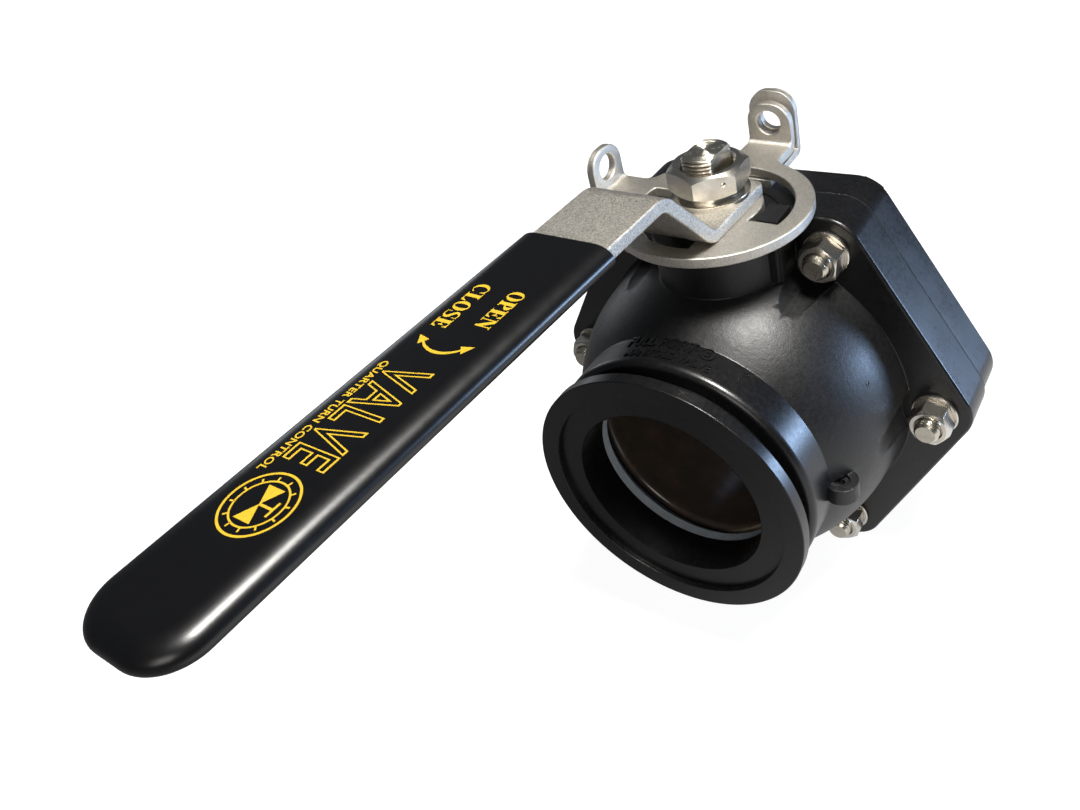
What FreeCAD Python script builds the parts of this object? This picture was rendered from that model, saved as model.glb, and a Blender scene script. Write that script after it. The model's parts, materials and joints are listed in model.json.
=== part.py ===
import FreeCAD, Part
import math
import os
import Sketcher

# Manifold ball valve: millimetres, origin at the centre of the front pipe face,
# +Y along the pipe away from the handle grip, +Z up the stem.
# Each sub-part is drawn about the centre of the ball and placed behind the front face.

SIZES = {
    # how far a cut runs past the face it leaves
    "overrun": 1.0,
    # flow port, ball and seats
    "port_radius": 37.1,
    "ball_land": 21.5,
    "ball_bore_step": 0.5,
    "ball_rim_round": 2.6,
    "ball_clearance": 0.05,
    "slot_half_width": 5.5,
    "slot_depth": 10.8,
    "seat_bore_step": 0.1,
    "seat_width": 8.7,
    "seat_back": 3.757,
    "seat_clearance": 0.3,
    "seat_ring_section": 1.3,
    "seat_ring_play": 0.4,
    # pipe ends, the same at the front and at the back
    "port_length": 15.1,
    "port_wall": 9.4,
    "rim_lip": 7.5,
    "rim_thickness": 5.1,
    "rim_round": 0.9,
    "recess_wall": 7.6,
    "recess_depth": 2.1,
    "groove_width": 7.0,
    "collar_wall": 6.8,
    "collar_round": 2.8,
    # shell
    "ball_gap": 1.2,
    "shell_wall": 5.8,
    "dome_blend": 1.0,
    "dome_flare": 1.5,
    "parting_plane": 27.5,
    "body_flange": 18.2,
    "cap_flange": 17.5,
    "flange_margin": 3.5,
    "cap_step": 0.95,
    "flange_corner_round": 14.0,
    "flange_edge_round": 1.2,
    # bolted joint
    "joint_ring_wall": 1.5,
    "joint_ring_section": 1.75,
    "joint_groove_margin": 0.35,
    "bolt_wall": 6.0,
    "bolt_radius": 4.65,
    "bolt_clearance": 0.25,
    "bolt_showing": 3.4,
    "bolt_tip_chamfer": 1.0,
    "hex_flats": 14.3,
    "nut_height": 8.3,
    "head_height": 6.0,
    "washer_radius": 8.9,
    "washer_thickness": 1.6,
    "scallop_room": 4.1,
    "scallop_past_tip": 14.0,
    # stem and its seals
    "rest_turn": -3.0,
    "tang_half_length": 12.0,
    "tang_clearance": 0.1,
    "tang_play": 0.7,
    "shoulder_gap": 1.4,
    "shoulder_height": 4.0,
    "shoulder_width": 4.0,
    "shoulder_clearance": 0.4,
    "thrust_thickness": 1.5,
    "running_clearance": 0.05,
    "seal_groove_depth": 2.0,
    "seal_groove_width": 2.6,
    "seal_over_washer": 2.5,
    "seal_pitch": 4.0,
    "seal_under_bushing": 2.0,
    "bushing_wall": 3.0,
    "bushing_height": 6.0,
    "neck_radius": 9.5,
    "neck_step": 2.5,
    "neck_flat": 5.9,
    "neck_over_nut": 4.3,
    "neck_chamfer": 1.1,
    "neck_fit": 0.1,
    # stem boss with the stop post
    "boss_wall": 9.0,
    "boss_foot_gap": 0.7,
    "wing_step": 2.2,
    "wing_front": 7.2,
    "post_inner": 19.5,
    "post_depth": 8.0,
    "post_half_width": 6.0,
    "post_height": 6.0,
    # tag lug on the side of the dome
    "lug_stand": 0.7,
    "lug_y": -35.5,
    "lug_radius": 6.2,
    "lug_height": 7.0,
    "lug_hole_radius": 1.25,
    "lug_sink_width": 1.65,
    "lug_sink_depth": 1.2,
    # stop plate
    "plate_gap": 2.4,
    "plate_thickness": 4.0,
    "plate_rim": 7.0,
    "slot_outer_play": 2.0,
    "slot_inner_play": 1.2,
    "post_play": 0.2,
    "tab_blend": 5.0,
    "back_ear_inner": 50.2,
    "back_ear_shift": -2.0,
    "left_ear_inner": 47.2,
    "left_ear_shift": 2.9,
    "ear_thickness": 3.3,
    "ear_half_width": 9.3,
    "ear_hole_rise": 12.4,
    "ear_over_hole": 8.0,
    "ear_top_flat": 1.3,
    "ear_bend_inner": 2.2,
    "ear_hole_radius": 5.0,
    # lock bracket
    "bracket_step": 1.0,
    "lock_gap": 2.0,
    "bracket_thickness": 3.0,
    "bracket_margin": 0.4,
    "bracket_over_hole": 11.2,
    "bracket_top_flat": 1.2,
    "screw_x": 5.5,
    "screw_step": 7.5,
    "screw_radius": 2.0,
    "screw_length": 12.0,
    "screw_sink": 1.8,
    "screw_clearance": 0.1,
    "screw_edge": 0.02,
    # handle
    "bar_half_width": 14.7,
    "bar_thickness": 4.8,
    "bar_back": 13.0,
    "bar_back_round": 3.0,
    "bend_lower_y": -25.1,
    "bend_run": 24.1,
    "bend_rise": 27.0,
    "bend_inner_round": 6.0,
    "bare_length": 31.3,
    "bar_end_round": 10.0,
    "grip_length": 155.5,
    "grip_tip": 7.0,
    "grip_side": 2.7,
    "grip_skin": 2.0,
    "grip_edge_flat": 0.2,
    "grip_corner_skin": 3.0,
    "grip_clearance": 0.02,
    # nut stack
    "stem_nut_flats": 26.3,
    "stem_nut_height": 9.5,
    "stem_nut_turn": 35.5,
    "stem_nut_chamfer": 1.6,
    "flat_washer_margin": 1.25,
    "flat_washer_thickness": 1.8,
    "spring_washer_inset": 0.85,
    "spring_washer_thickness": 1.7,
    "spring_split_width": 1.8,
    "spring_split_lean": 2.2,
    "spring_split_turn": 20.0,
}


class Size:
    """A value of the sheet, or a sum made of such values, with its expression text."""

    def __init__(self, value, text):
        self.value = value
        self.text = text

    def __add__(self, other):
        other = as_size(other)
        return Size(self.value + other.value, f"({self.text} + {other.text})")

    def __sub__(self, other):
        other = as_size(other)
        return Size(self.value - other.value, f"({self.text} - {other.text})")

    def __mul__(self, other):
        other = as_size(other)
        return Size(self.value * other.value, f"({self.text} * {other.text})")

    def __truediv__(self, other):
        other = as_size(other)
        return Size(self.value / other.value, f"({self.text} / {other.text})")

    def __neg__(self):
        return Size(-self.value, f"(0 - {self.text})")


def as_size(value):
    """A plain number as a Size; a Size stays as it is."""
    if isinstance(value, Size):
        return value
    return Size(float(value), repr(float(value)))


def fill_sheet(doc):
    """Write the driving sizes into a spreadsheet, one alias to a row."""
    sheet = doc.addObject("Spreadsheet::Sheet", "sizes")
    for row, (alias, value) in enumerate(SIZES.items(), start=1):
        sheet.set(f"A{row}", alias)
        sheet.set(f"B{row}", str(value))
        sheet.setAlias(f"B{row}", alias)
    doc.recompute()
    return {alias: Size(float(sheet.get(alias)), f"sizes.{alias}") for alias in SIZES}


def chord(radius, offset):
    """Half chord of a circle at an offset from its centre."""
    value = math.sqrt(radius.value ** 2 - offset.value ** 2)
    return Size(value, f"sqrt({radius.text} ^ 2 - {offset.text} ^ 2)")


def slant(run, rise):
    """Length of a slope."""
    return Size(math.hypot(run.value, rise.value), f"sqrt({run.text} ^ 2 + {rise.text} ^ 2)")


def fit_seats(s):
    """Ball, seats and pipe ends follow from the flow port."""
    s["ball_radius"] = s["port_radius"] + s["ball_land"]
    s["ball_bore_radius"] = s["port_radius"] + s["ball_bore_step"]
    s["slot_floor"] = s["ball_radius"] - s["slot_depth"]
    s["seat_inner_radius"] = s["port_radius"] + s["seat_bore_step"]
    s["seat_outer_radius"] = s["seat_inner_radius"] + s["seat_width"]
    s["seat_step_radius"] = s["seat_outer_radius"] - s["seat_ring_section"] * 2 - s["seat_ring_play"]
    s["seat_ring_radius"] = s["seat_outer_radius"] - s["seat_ring_section"]
    face = s["ball_radius"] + s["ball_clearance"]
    s["seat_reach"] = chord(face, s["seat_inner_radius"]) + s["seat_back"]
    s["face_reach"] = s["seat_reach"] + s["port_length"] + s["recess_depth"]
    s["groove_radius"] = s["port_radius"] + s["port_wall"]
    s["rim_radius"] = s["groove_radius"] + s["rim_lip"]
    s["recess_radius"] = s["rim_radius"] - s["recess_wall"]
    s["collar_radius"] = s["seat_outer_radius"] + s["seat_clearance"] + s["collar_wall"]


def fit_shell(s):
    """Shell, flanges and bolts follow from the ball."""
    s["cavity_radius"] = s["ball_radius"] + s["ball_gap"]
    s["dome_radius"] = s["cavity_radius"] + s["shell_wall"]
    ring_room = s["joint_ring_section"] + s["joint_groove_margin"]
    s["joint_ring_radius"] = s["cavity_radius"] + s["joint_ring_wall"] + ring_room
    hole = s["bolt_radius"] + s["bolt_clearance"]
    s["bolt_circle"] = s["joint_ring_radius"] + ring_room + s["bolt_wall"] + hole
    s["body_flat"] = s["bolt_circle"] + s["flange_margin"]
    s["cap_flat"] = s["body_flat"] - s["cap_step"]
    s["flange_front"] = s["parting_plane"] - s["body_flange"]
    s["cap_back"] = s["parting_plane"] + s["cap_flange"]
    s["nut_front"] = s["flange_front"] - s["washer_thickness"] - s["nut_height"]
    s["bolt_tip"] = s["bolt_showing"] - s["nut_front"]
    s["scallop_radius"] = s["washer_radius"] + s["scallop_room"]
    s["scallop_reach"] = s["bolt_tip"] + s["scallop_past_tip"]
    s["lug_x"] = chord(s["dome_radius"] + s["lug_stand"], s["lug_y"])
    s["lug_sink_radius"] = s["lug_hole_radius"] + s["lug_sink_width"]


def fit_stem(s):
    """Stem, boss and stop plate stack up from the ball."""
    s["tang_bottom"] = s["slot_floor"] + s["tang_play"]
    s["shoulder_bottom"] = s["ball_radius"] + s["shoulder_gap"]
    s["shoulder_roof"] = s["shoulder_bottom"] + s["shoulder_height"] + s["thrust_thickness"]
    s["shaft_radius"] = s["neck_radius"] + s["neck_step"]
    s["shoulder_radius"] = s["shaft_radius"] + s["shoulder_width"]
    s["seal_groove_radius"] = s["shaft_radius"] - s["seal_groove_depth"]
    s["seal_lower"] = s["shoulder_roof"] + s["seal_over_washer"]
    s["bushing_radius"] = s["shaft_radius"] + s["bushing_wall"]
    s["bushing_floor"] = s["seal_lower"] + s["seal_pitch"] + s["seal_under_bushing"]
    s["boss_top"] = s["bushing_floor"] + s["bushing_height"]
    s["boss_radius"] = s["bushing_radius"] + s["boss_wall"]
    s["wing_half_width"] = s["boss_radius"] + s["wing_step"]
    s["boss_foot"] = s["cavity_radius"] + s["boss_foot_gap"]
    s["post_outer"] = s["post_inner"] + s["post_depth"]
    s["plate_bottom"] = s["boss_top"] + s["plate_gap"]
    s["plate_slot_outer"] = s["post_outer"] + s["slot_outer_play"]
    s["plate_slot_inner"] = s["post_inner"] - s["slot_inner_play"]
    s["plate_radius"] = s["plate_slot_outer"] + s["plate_rim"]
    s["ear_hole_height"] = s["plate_bottom"] + s["ear_hole_rise"]
    s["ear_top"] = s["ear_hole_height"] + s["ear_over_hole"]
    s["ear_round"] = s["ear_half_width"] - s["ear_top_flat"]


def fit_bracket(s):
    """The lock bracket stands on the cap behind the ear of the stop plate."""
    s["screw_head_radius"] = s["screw_radius"] + s["screw_sink"]
    s["bracket_half_width"] = s["screw_x"] + s["screw_head_radius"] + s["bracket_margin"]
    s["bracket_round"] = s["bracket_half_width"] - s["bracket_top_flat"]
    s["bracket_front"] = s["parting_plane"] + s["bracket_step"]
    s["screw_y"] = s["bracket_front"] + s["screw_step"]
    s["bracket_ear_front"] = s["back_ear_inner"] + s["ear_thickness"] + s["lock_gap"]
    s["bracket_top"] = s["ear_hole_height"] + s["bracket_over_hole"]


def fit_handle(s):
    """Bar, grip and nut stack follow from the stop plate and the neck of the stem."""
    s["bar_bottom"] = s["plate_bottom"] + s["plate_thickness"]
    s["bar_top"] = s["bar_bottom"] + s["bar_thickness"]
    s["bend_upper_y"] = s["bend_lower_y"] - s["bend_run"]
    slope = slant(s["bend_run"], s["bend_rise"])
    s["bend_shift"] = s["bar_thickness"] * (slope - s["bend_run"]) / s["bend_rise"]
    s["grip_start"] = s["bend_upper_y"] - s["bare_length"]
    s["grip_end"] = s["grip_start"] - s["grip_length"]
    s["bar_end"] = s["grip_end"] + s["grip_tip"]
    s["grip_half_width"] = s["bar_half_width"] + s["grip_side"]
    s["grip_half_thickness"] = s["bar_thickness"] / 2 + s["grip_skin"]
    s["grip_edge_round"] = s["grip_half_thickness"] - s["grip_edge_flat"]
    s["grip_corner_round"] = s["bar_end_round"] + s["grip_corner_skin"]
    s["flat_washer_radius"] = s["stem_nut_flats"] / 2 + s["flat_washer_margin"]
    s["spring_washer_radius"] = s["stem_nut_flats"] / 2 - s["spring_washer_inset"]
    s["washer_top"] = s["bar_top"] + s["flat_washer_thickness"]
    s["spring_top"] = s["washer_top"] + s["spring_washer_thickness"]
    s["neck_top"] = s["spring_top"] + s["stem_nut_height"] + s["neck_over_nut"]


DOC = FreeCAD.newDocument("manifold_valve")
S = fill_sheet(DOC)
for fit in (fit_seats, fit_shell, fit_stem, fit_bracket, fit_handle):
    fit(S)
ZERO = as_size(0)
HEX_CORNER = 1 / math.cos(math.radians(30))


def bind(thing, path, size):
    """Drive one property of an object by the sheet."""
    thing.setExpression(path, as_size(size).text)


def place(thing, x=ZERO, y=ZERO, z=ZERO, turn=0.0):
    """Put a sub-part at its spot from the ball's centre, turned about the stem axis."""
    y = S["face_reach"] + y
    spot = FreeCAD.Vector(as_size(x).value, as_size(y).value, as_size(z).value)
    thing.Placement = FreeCAD.Placement(spot, FreeCAD.Rotation(FreeCAD.Vector(0, 0, 1), turn))
    for axis, size in (("x", x), ("y", y), ("z", z)):
        if size is not ZERO:
            bind(thing, f"Placement.Base.{axis}", size)


def new_body(label):
    """An empty body under the label of its sub-part."""
    body = DOC.addObject("PartDesign::Body", label)
    body.Label = label
    return body


def plane_of(body, role):
    """One of the body's own origin planes."""
    for feature in body.Origin.OriginFeatures:
        if feature.Role == role:
            return feature
    raise ValueError(f"no {role} in {body.Label}")


def new_sketch(body, name, role, offset):
    """A sketch on an origin plane of the body, moved along the plane's normal."""
    sketch = body.newObject("Sketcher::SketchObject", name)
    sketch.AttachmentSupport = (plane_of(body, role), [""])
    sketch.MapMode = "FlatFace"
    offset = as_size(offset)
    sketch.AttachmentOffset = FreeCAD.Placement(FreeCAD.Vector(0, 0, offset.value), FreeCAD.Rotation())
    if offset.value:
        bind(sketch, "AttachmentOffset.Base.z", offset)
    return sketch


def pin(sketch, geometry, end, kind, size):
    """Fix one coordinate of a point of the sketch to a size."""
    size = as_size(size)
    if size.value == 0:
        axis = -2 if kind == "DistanceX" else -1
        sketch.addConstraint(Sketcher.Constraint("PointOnObject", geometry, end, axis))
        return
    index = sketch.addConstraint(Sketcher.Constraint(kind, -1, 1, geometry, end, size.value))
    bind(sketch, f"Constraints[{index}]", size)


def set_radius(sketch, geometry, radius):
    """Fix the radius of a circle or an arc of the sketch."""
    radius = as_size(radius)
    index = sketch.addConstraint(Sketcher.Constraint("Radius", geometry, radius.value))
    bind(sketch, f"Constraints[{index}]", radius)


def add_circle(sketch, u, v, radius):
    """A full circle at (u, v)."""
    u, v, radius = as_size(u), as_size(v), as_size(radius)
    circle = Part.Circle(FreeCAD.Vector(u.value, v.value, 0), FreeCAD.Vector(0, 0, 1), radius.value)
    geometry = sketch.addGeometry(circle, False)
    if u.value == 0 and v.value == 0:
        sketch.addConstraint(Sketcher.Constraint("Coincident", geometry, 3, -1, 1))
    else:
        pin(sketch, geometry, 3, "DistanceX", u)
        pin(sketch, geometry, 3, "DistanceY", v)
    set_radius(sketch, geometry, radius)


def add_loop(sketch, corners, arcs=None):
    """A closed loop through the corners.

    Each corner is (u, v), or (u, v, "u") or (u, v, "v") where an arc leaves only that coordinate to fix.
    arcs gives, for the number of a side, the radius of an arc about the origin and its sense, 1 or -1.
    """
    arcs = arcs or {}
    points = []
    for corner in corners:
        points.append((as_size(corner[0]), as_size(corner[1])))
    sides = []
    for number, (u, v) in enumerate(points):
        next_u, next_v = points[(number + 1) % len(points)]
        if number in arcs:
            radius, sense = arcs[number]
            begin = math.atan2(v.value, u.value)
            finish = math.atan2(next_v.value, next_u.value)
            if sense < 0:
                begin, finish = finish, begin
            circle = Part.Circle(FreeCAD.Vector(0, 0, 0), FreeCAD.Vector(0, 0, 1), radius.value)
            geometry = sketch.addGeometry(Part.ArcOfCircle(circle, begin, finish), False)
            sides.append((geometry, 1, 2) if sense > 0 else (geometry, 2, 1))
        else:
            first = FreeCAD.Vector(u.value, v.value, 0)
            second = FreeCAD.Vector(next_u.value, next_v.value, 0)
            geometry = sketch.addGeometry(Part.LineSegment(first, second), False)
            sides.append((geometry, 1, 2))
    for number, (geometry, start, end) in enumerate(sides):
        follower, follower_start, follower_end = sides[(number + 1) % len(sides)]
        sketch.addConstraint(Sketcher.Constraint("Coincident", geometry, end, follower, follower_start))
        if number in arcs:
            sketch.addConstraint(Sketcher.Constraint("Coincident", geometry, 3, -1, 1))
            set_radius(sketch, geometry, arcs[number][0])
    for (geometry, start, end), corner, (u, v) in zip(sides, corners, points):
        wanted = corner[2] if len(corner) > 2 else "uv"
        if "u" in wanted:
            pin(sketch, geometry, start, "DistanceX", u)
        if "v" in wanted:
            pin(sketch, geometry, start, "DistanceY", v)


def loop_sketch(body, name, role, corners, arcs=None, offset=0, hole=None):
    """A sketch with one loop and, where wanted, one round hole (u, v, radius)."""
    sketch = new_sketch(body, name, role, offset)
    add_loop(sketch, corners, arcs)
    if hole:
        add_circle(sketch, *hole)
    return sketch


def circle_sketch(body, name, role, circles, offset=0):
    """A sketch of circles, each (u, v, radius)."""
    sketch = new_sketch(body, name, role, offset)
    for circle in circles:
        add_circle(sketch, *circle)
    return sketch


def rectangle(left, bottom, right, top):
    """Corners of an upright rectangle."""
    return [(left, bottom), (right, bottom), (right, top), (left, top)]


def hexagon(flats, turn=0.0, u=ZERO, v=ZERO):
    """Corners of a regular hexagon given across its flats, with a corner at the turn angle."""
    reach = flats * (HEX_CORNER / 2)
    corners = []
    for number in range(6):
        angle = math.radians(turn + 60 * number)
        corners.append((u + reach * round(math.cos(angle), 9), v + reach * round(math.sin(angle), 9)))
    return corners


def double_d(radius, flat):
    """Corners and arcs of a round hole with two flats that face along U."""
    half = math.sqrt(radius.value ** 2 - flat.value ** 2)
    corners = [
        (flat, half, "u"),
        (-flat, half, "u"),
        (-flat, -half, "u"),
        (flat, -half, "u"),
    ]
    return corners, {0: (radius, 1), 2: (radius, 1)}


def checked(body, feature, before, grows):
    """Recompute and make sure that the feature added or took away material."""
    DOC.recompute()
    volume = feature.Shape.Volume
    if grows and volume <= before or not grows and volume >= before:
        raise ValueError(f"{feature.Name} of {body.Label} went the wrong way")
    return feature


def volume_of(body):
    """Volume of the body so far."""
    return 0.0 if body.Shape.isNull() else body.Shape.Volume


def pad(body, name, sketch, length, back=False, both=False):
    """Raise material from a sketch."""
    before = volume_of(body)
    feature = body.newObject("PartDesign::Pad", name)
    feature.Profile = sketch
    feature.Reversed = back
    if both:
        feature.SideType = "Symmetric"
    bind(feature, "Length", length)
    return checked(body, feature, before, True)


def pocket(body, name, sketch, length, back=False, both=False):
    """Cut material to a depth from a sketch."""
    before = volume_of(body)
    feature = body.newObject("PartDesign::Pocket", name)
    feature.Profile = sketch
    feature.Reversed = back
    if both:
        feature.SideType = "Symmetric"
    bind(feature, "Length", length)
    return checked(body, feature, before, False)


def revolve(body, name, sketch, axis="V_Axis"):
    """Turn a sketch into a solid of revolution."""
    before = volume_of(body)
    feature = body.newObject("PartDesign::Revolution", name)
    feature.Profile = sketch
    feature.ReferenceAxis = (sketch, [axis])
    feature.Angle = 360
    return checked(body, feature, before, True)


def groove(body, name, sketch, axis="V_Axis"):
    """Cut away a solid of revolution."""
    before = volume_of(body)
    feature = body.newObject("PartDesign::Groove", name)
    feature.Profile = sketch
    feature.ReferenceAxis = (sketch, [axis])
    feature.Angle = 360
    return checked(body, feature, before, False)


def repeat(body, name, features, role, count):
    """Repeat features evenly about an axis of the body."""
    pattern = body.newObject("PartDesign::PolarPattern", name)
    pattern.Originals = features
    pattern.Axis = (plane_of(body, role), [""])
    pattern.Angle = 360
    pattern.Occurrences = count
    body.Tip = pattern
    DOC.recompute()
    return pattern


def soften(body, name, kind, radius, wanted):
    """Round or chamfer the edges of the body that the test picks out."""
    base = body.Tip
    names = [f"Edge{number}" for number, edge in enumerate(base.Shape.Edges, start=1) if wanted(edge)]
    if not names:
        raise ValueError(f"{name} of {body.Label} found no edge")
    feature = body.newObject(f"PartDesign::{kind}", name)
    feature.Base = (base, names)
    bind(feature, "Radius" if kind == "Fillet" else "Size", radius)
    body.Tip = feature
    DOC.recompute()
    if not feature.isValid():
        raise ValueError(f"{name} of {body.Label} failed on {names}")
    return feature


def near(first, second, slack=0.02):
    """Whether two numbers agree."""
    return abs(first - as_size(second).value) < slack


def ring_edge(edge, radius, y):
    """Whether an edge is a circle about the pipe axis at a radius and place."""
    if not isinstance(edge.Curve, Part.Circle):
        return False
    centre = edge.Curve.Center
    on_axis = near(centre.x, 0) and near(centre.z, 0) and abs(edge.Curve.Axis.y) > 0.99
    return on_axis and near(edge.Curve.Radius, radius) and near(centre.y, y)


def line_edge(edge, axis):
    """Whether an edge is straight along an axis x, y or z."""
    if not isinstance(edge.Curve, Part.Line):
        return False
    return abs(getattr(edge.Curve.Direction, axis)) > 0.999


def reach_at(radius, offset):
    """Half chord of a circle at an offset from its centre."""
    return math.sqrt(radius.value ** 2 - as_size(offset).value ** 2)


def pipe_end(side):
    """Corners of the clamped pipe end from the port bore round to the collar; side is -1 or 1."""
    face = S["face_reach"] * side
    floor = (S["face_reach"] - S["recess_depth"]) * side
    rim_back = (S["face_reach"] - S["rim_thickness"]) * side
    groove_back = (S["face_reach"] - S["rim_thickness"] - S["groove_width"]) * side
    return [
        (S["port_radius"], floor),
        (S["recess_radius"], floor),
        (S["recess_radius"], face),
        (S["rim_radius"], face),
        (S["rim_radius"], rim_back),
        (S["groove_radius"], rim_back),
        (S["groove_radius"], groove_back),
        (S["collar_radius"], groove_back),
    ]


def seat_pocket(side):
    """Corners of the seat pocket, from the cavity to the port bore."""
    pocket_radius = S["seat_outer_radius"] + S["seat_clearance"]
    mouth = reach_at(S["cavity_radius"], pocket_radius) * side
    floor = S["seat_reach"] * side
    return [
        (pocket_radius, mouth, "u"),
        (pocket_radius, floor),
        (S["port_radius"], floor),
    ]


def hex_flange(body, name, flat, start, length):
    """The six-sided bolting flange, its flats above and below, with rounded corners."""
    sketch = loop_sketch(body, f"{name}_outline", "XZ_Plane", hexagon(flat * 2), offset=-start)
    pad(body, name, sketch, length, back=True)

    def corner(edge):
        middle = edge.CenterOfMass
        reach = math.hypot(middle.x, middle.z)
        return line_edge(edge, "y") and near(reach, flat.value * HEX_CORNER)

    soften(body, f"{name}_corners", "Fillet", S["flange_corner_round"], corner)


def bolt_ring(body, name, radius, start, length):
    """Six round pockets on the bolt circle that start at a plane and run toward +Y."""
    sketch = circle_sketch(body, f"{name}_outline", "XZ_Plane", [(S["bolt_circle"], ZERO, radius)], -start)
    feature = pocket(body, name, sketch, length)
    repeat(body, f"{name}_six", [feature], "Y_Axis", 6)


def make_valve_body():
    """Front shell: clamped pipe end, dome, bolting flange and stem boss in one moulding."""
    body = new_body("valve_body")
    dome_start = -reach_at(S["dome_radius"], S["collar_radius"])
    corners = pipe_end(-1) + [
        (S["collar_radius"], dome_start, "u"),
        (S["dome_radius"], ZERO, "v"),
        (S["dome_radius"] + S["dome_flare"], S["flange_front"]),
        (S["dome_radius"] + S["dome_flare"], S["parting_plane"]),
        (S["cavity_radius"], S["parting_plane"]),
        (S["cavity_radius"], ZERO, "v"),
    ] + seat_pocket(-1)
    arcs = {8: (S["dome_radius"], 1), 13: (S["cavity_radius"], -1)}
    revolve(body, "shell", loop_sketch(body, "shell_profile", "XY_Plane", corners, arcs))
    soften(body, "dome_blend", "Fillet", S["dome_blend"],
           lambda edge: ring_edge(edge, S["collar_radius"], dome_start))
    bolt_ring(body, "scallops", S["scallop_radius"], -S["scallop_reach"],
              S["scallop_reach"] + S["flange_front"])
    hex_flange(body, "flange", S["body_flat"], S["flange_front"], S["parting_plane"] - S["flange_front"])
    bolt_ring(body, "bolt_holes", S["bolt_radius"] + S["bolt_clearance"], S["flange_front"],
              S["parting_plane"] - S["flange_front"])
    room = rectangle(ZERO, ZERO, S["cavity_radius"], S["parting_plane"])
    groove(body, "ball_room", loop_sketch(body, "ball_room_profile", "XY_Plane", room))
    add_joint_groove(body)
    add_stem_boss(body)
    add_lug(body)
    groove_back = -(S["face_reach"] - S["rim_thickness"] - S["groove_width"])
    soften(body, "collar_edge", "Fillet", S["collar_round"],
           lambda edge: ring_edge(edge, S["collar_radius"], groove_back))
    soften_rim(body, -1)
    soften_flange(body, S["body_flat"], S["flange_front"], S["wing_half_width"])
    place(body)
    return body


def soften_rim(body, side):
    """Round the two outer edges of the clamped rim."""
    face = S["face_reach"] * side
    back = (S["face_reach"] - S["rim_thickness"]) * side
    soften(body, "rim_edges", "Fillet", S["rim_round"],
           lambda edge: ring_edge(edge, S["rim_radius"], face) or ring_edge(edge, S["rim_radius"], back))


def soften_flange(body, flat, plane, covered):
    """Round the outer edge of a six-sided flange in one plane, but not where a boss covers its top."""
    def outer(edge):
        inside = edge.BoundBox
        if not (near(inside.YMin, plane) and near(inside.YMax, plane)):
            return False
        if isinstance(edge.Curve, Part.Circle):
            return near(edge.Curve.Radius, S["flange_corner_round"])
        middle = edge.CenterOfMass
        if middle.z > 0 and abs(middle.x) < covered.value:
            return False
        sides = [math.radians(60 * number + 30) for number in range(6)]
        reach = max(middle.x * math.cos(side) + middle.z * math.sin(side) for side in sides)
        return near(reach, flat)

    soften(body, "flange_edge", "Fillet", S["flange_edge_round"], outer)


def add_joint_groove(body):
    """Ring groove for the seal in the parting face."""
    inner = S["joint_ring_radius"] - S["joint_ring_section"] - S["joint_groove_margin"]
    outer = S["joint_ring_radius"] + S["joint_ring_section"] + S["joint_groove_margin"]
    floor = S["parting_plane"] - S["joint_ring_section"] * 2
    corners = rectangle(inner, floor, outer, S["parting_plane"])
    groove(body, "joint_groove", loop_sketch(body, "joint_groove_profile", "XY_Plane", corners))


def add_stem_boss(body):
    """Round boss with two wings and the stop post, bored for the stem, its seals and the bushing."""
    height = S["boss_top"] - S["boss_foot"]
    wings = rectangle(-S["wing_half_width"], -S["wing_front"], S["wing_half_width"], S["flange_front"])
    pad(body, "boss", circle_sketch(body, "boss_outline", "XY_Plane", [(ZERO, ZERO, S["boss_radius"])],
                                    S["boss_foot"]), height)
    pad(body, "wings", loop_sketch(body, "wings_outline", "XY_Plane", wings, offset=S["boss_foot"]), height)
    post = rectangle(S["post_inner"], -S["post_half_width"], S["post_outer"], S["post_half_width"])
    pad(body, "post", loop_sketch(body, "post_outline", "XY_Plane", post, offset=S["boss_foot"]),
        height + S["post_height"])
    inner_bore = S["shoulder_radius"] + S["shoulder_clearance"]
    shaft_bore = S["shaft_radius"] + S["running_clearance"]
    steps = [
        (ZERO, S["slot_floor"]),
        (inner_bore, S["slot_floor"]),
        (inner_bore, S["shoulder_roof"]),
        (shaft_bore, S["shoulder_roof"]),
        (shaft_bore, S["bushing_floor"]),
        (S["bushing_radius"], S["bushing_floor"]),
        (S["bushing_radius"], S["boss_top"] + S["post_height"]),
        (ZERO, S["boss_top"] + S["post_height"]),
    ]
    groove(body, "stem_bore", loop_sketch(body, "stem_bore_profile", "XZ_Plane", steps))


def add_lug(body):
    """Small upright lug with a countersunk hole on the right side of the dome."""
    outline = circle_sketch(body, "lug_outline", "XY_Plane", [(S["lug_x"], S["lug_y"], S["lug_radius"])])
    pad(body, "lug", outline, S["lug_height"], back=True)
    hole = circle_sketch(body, "lug_hole_outline", "XY_Plane",
                         [(S["lug_x"], S["lug_y"], S["lug_hole_radius"])])
    pocket(body, "lug_hole", hole, S["lug_height"])
    sink = circle_sketch(body, "lug_sink_outline", "XY_Plane",
                         [(S["lug_x"], S["lug_y"], S["lug_sink_radius"])])
    pocket(body, "lug_sink", sink, S["lug_sink_depth"])


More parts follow.
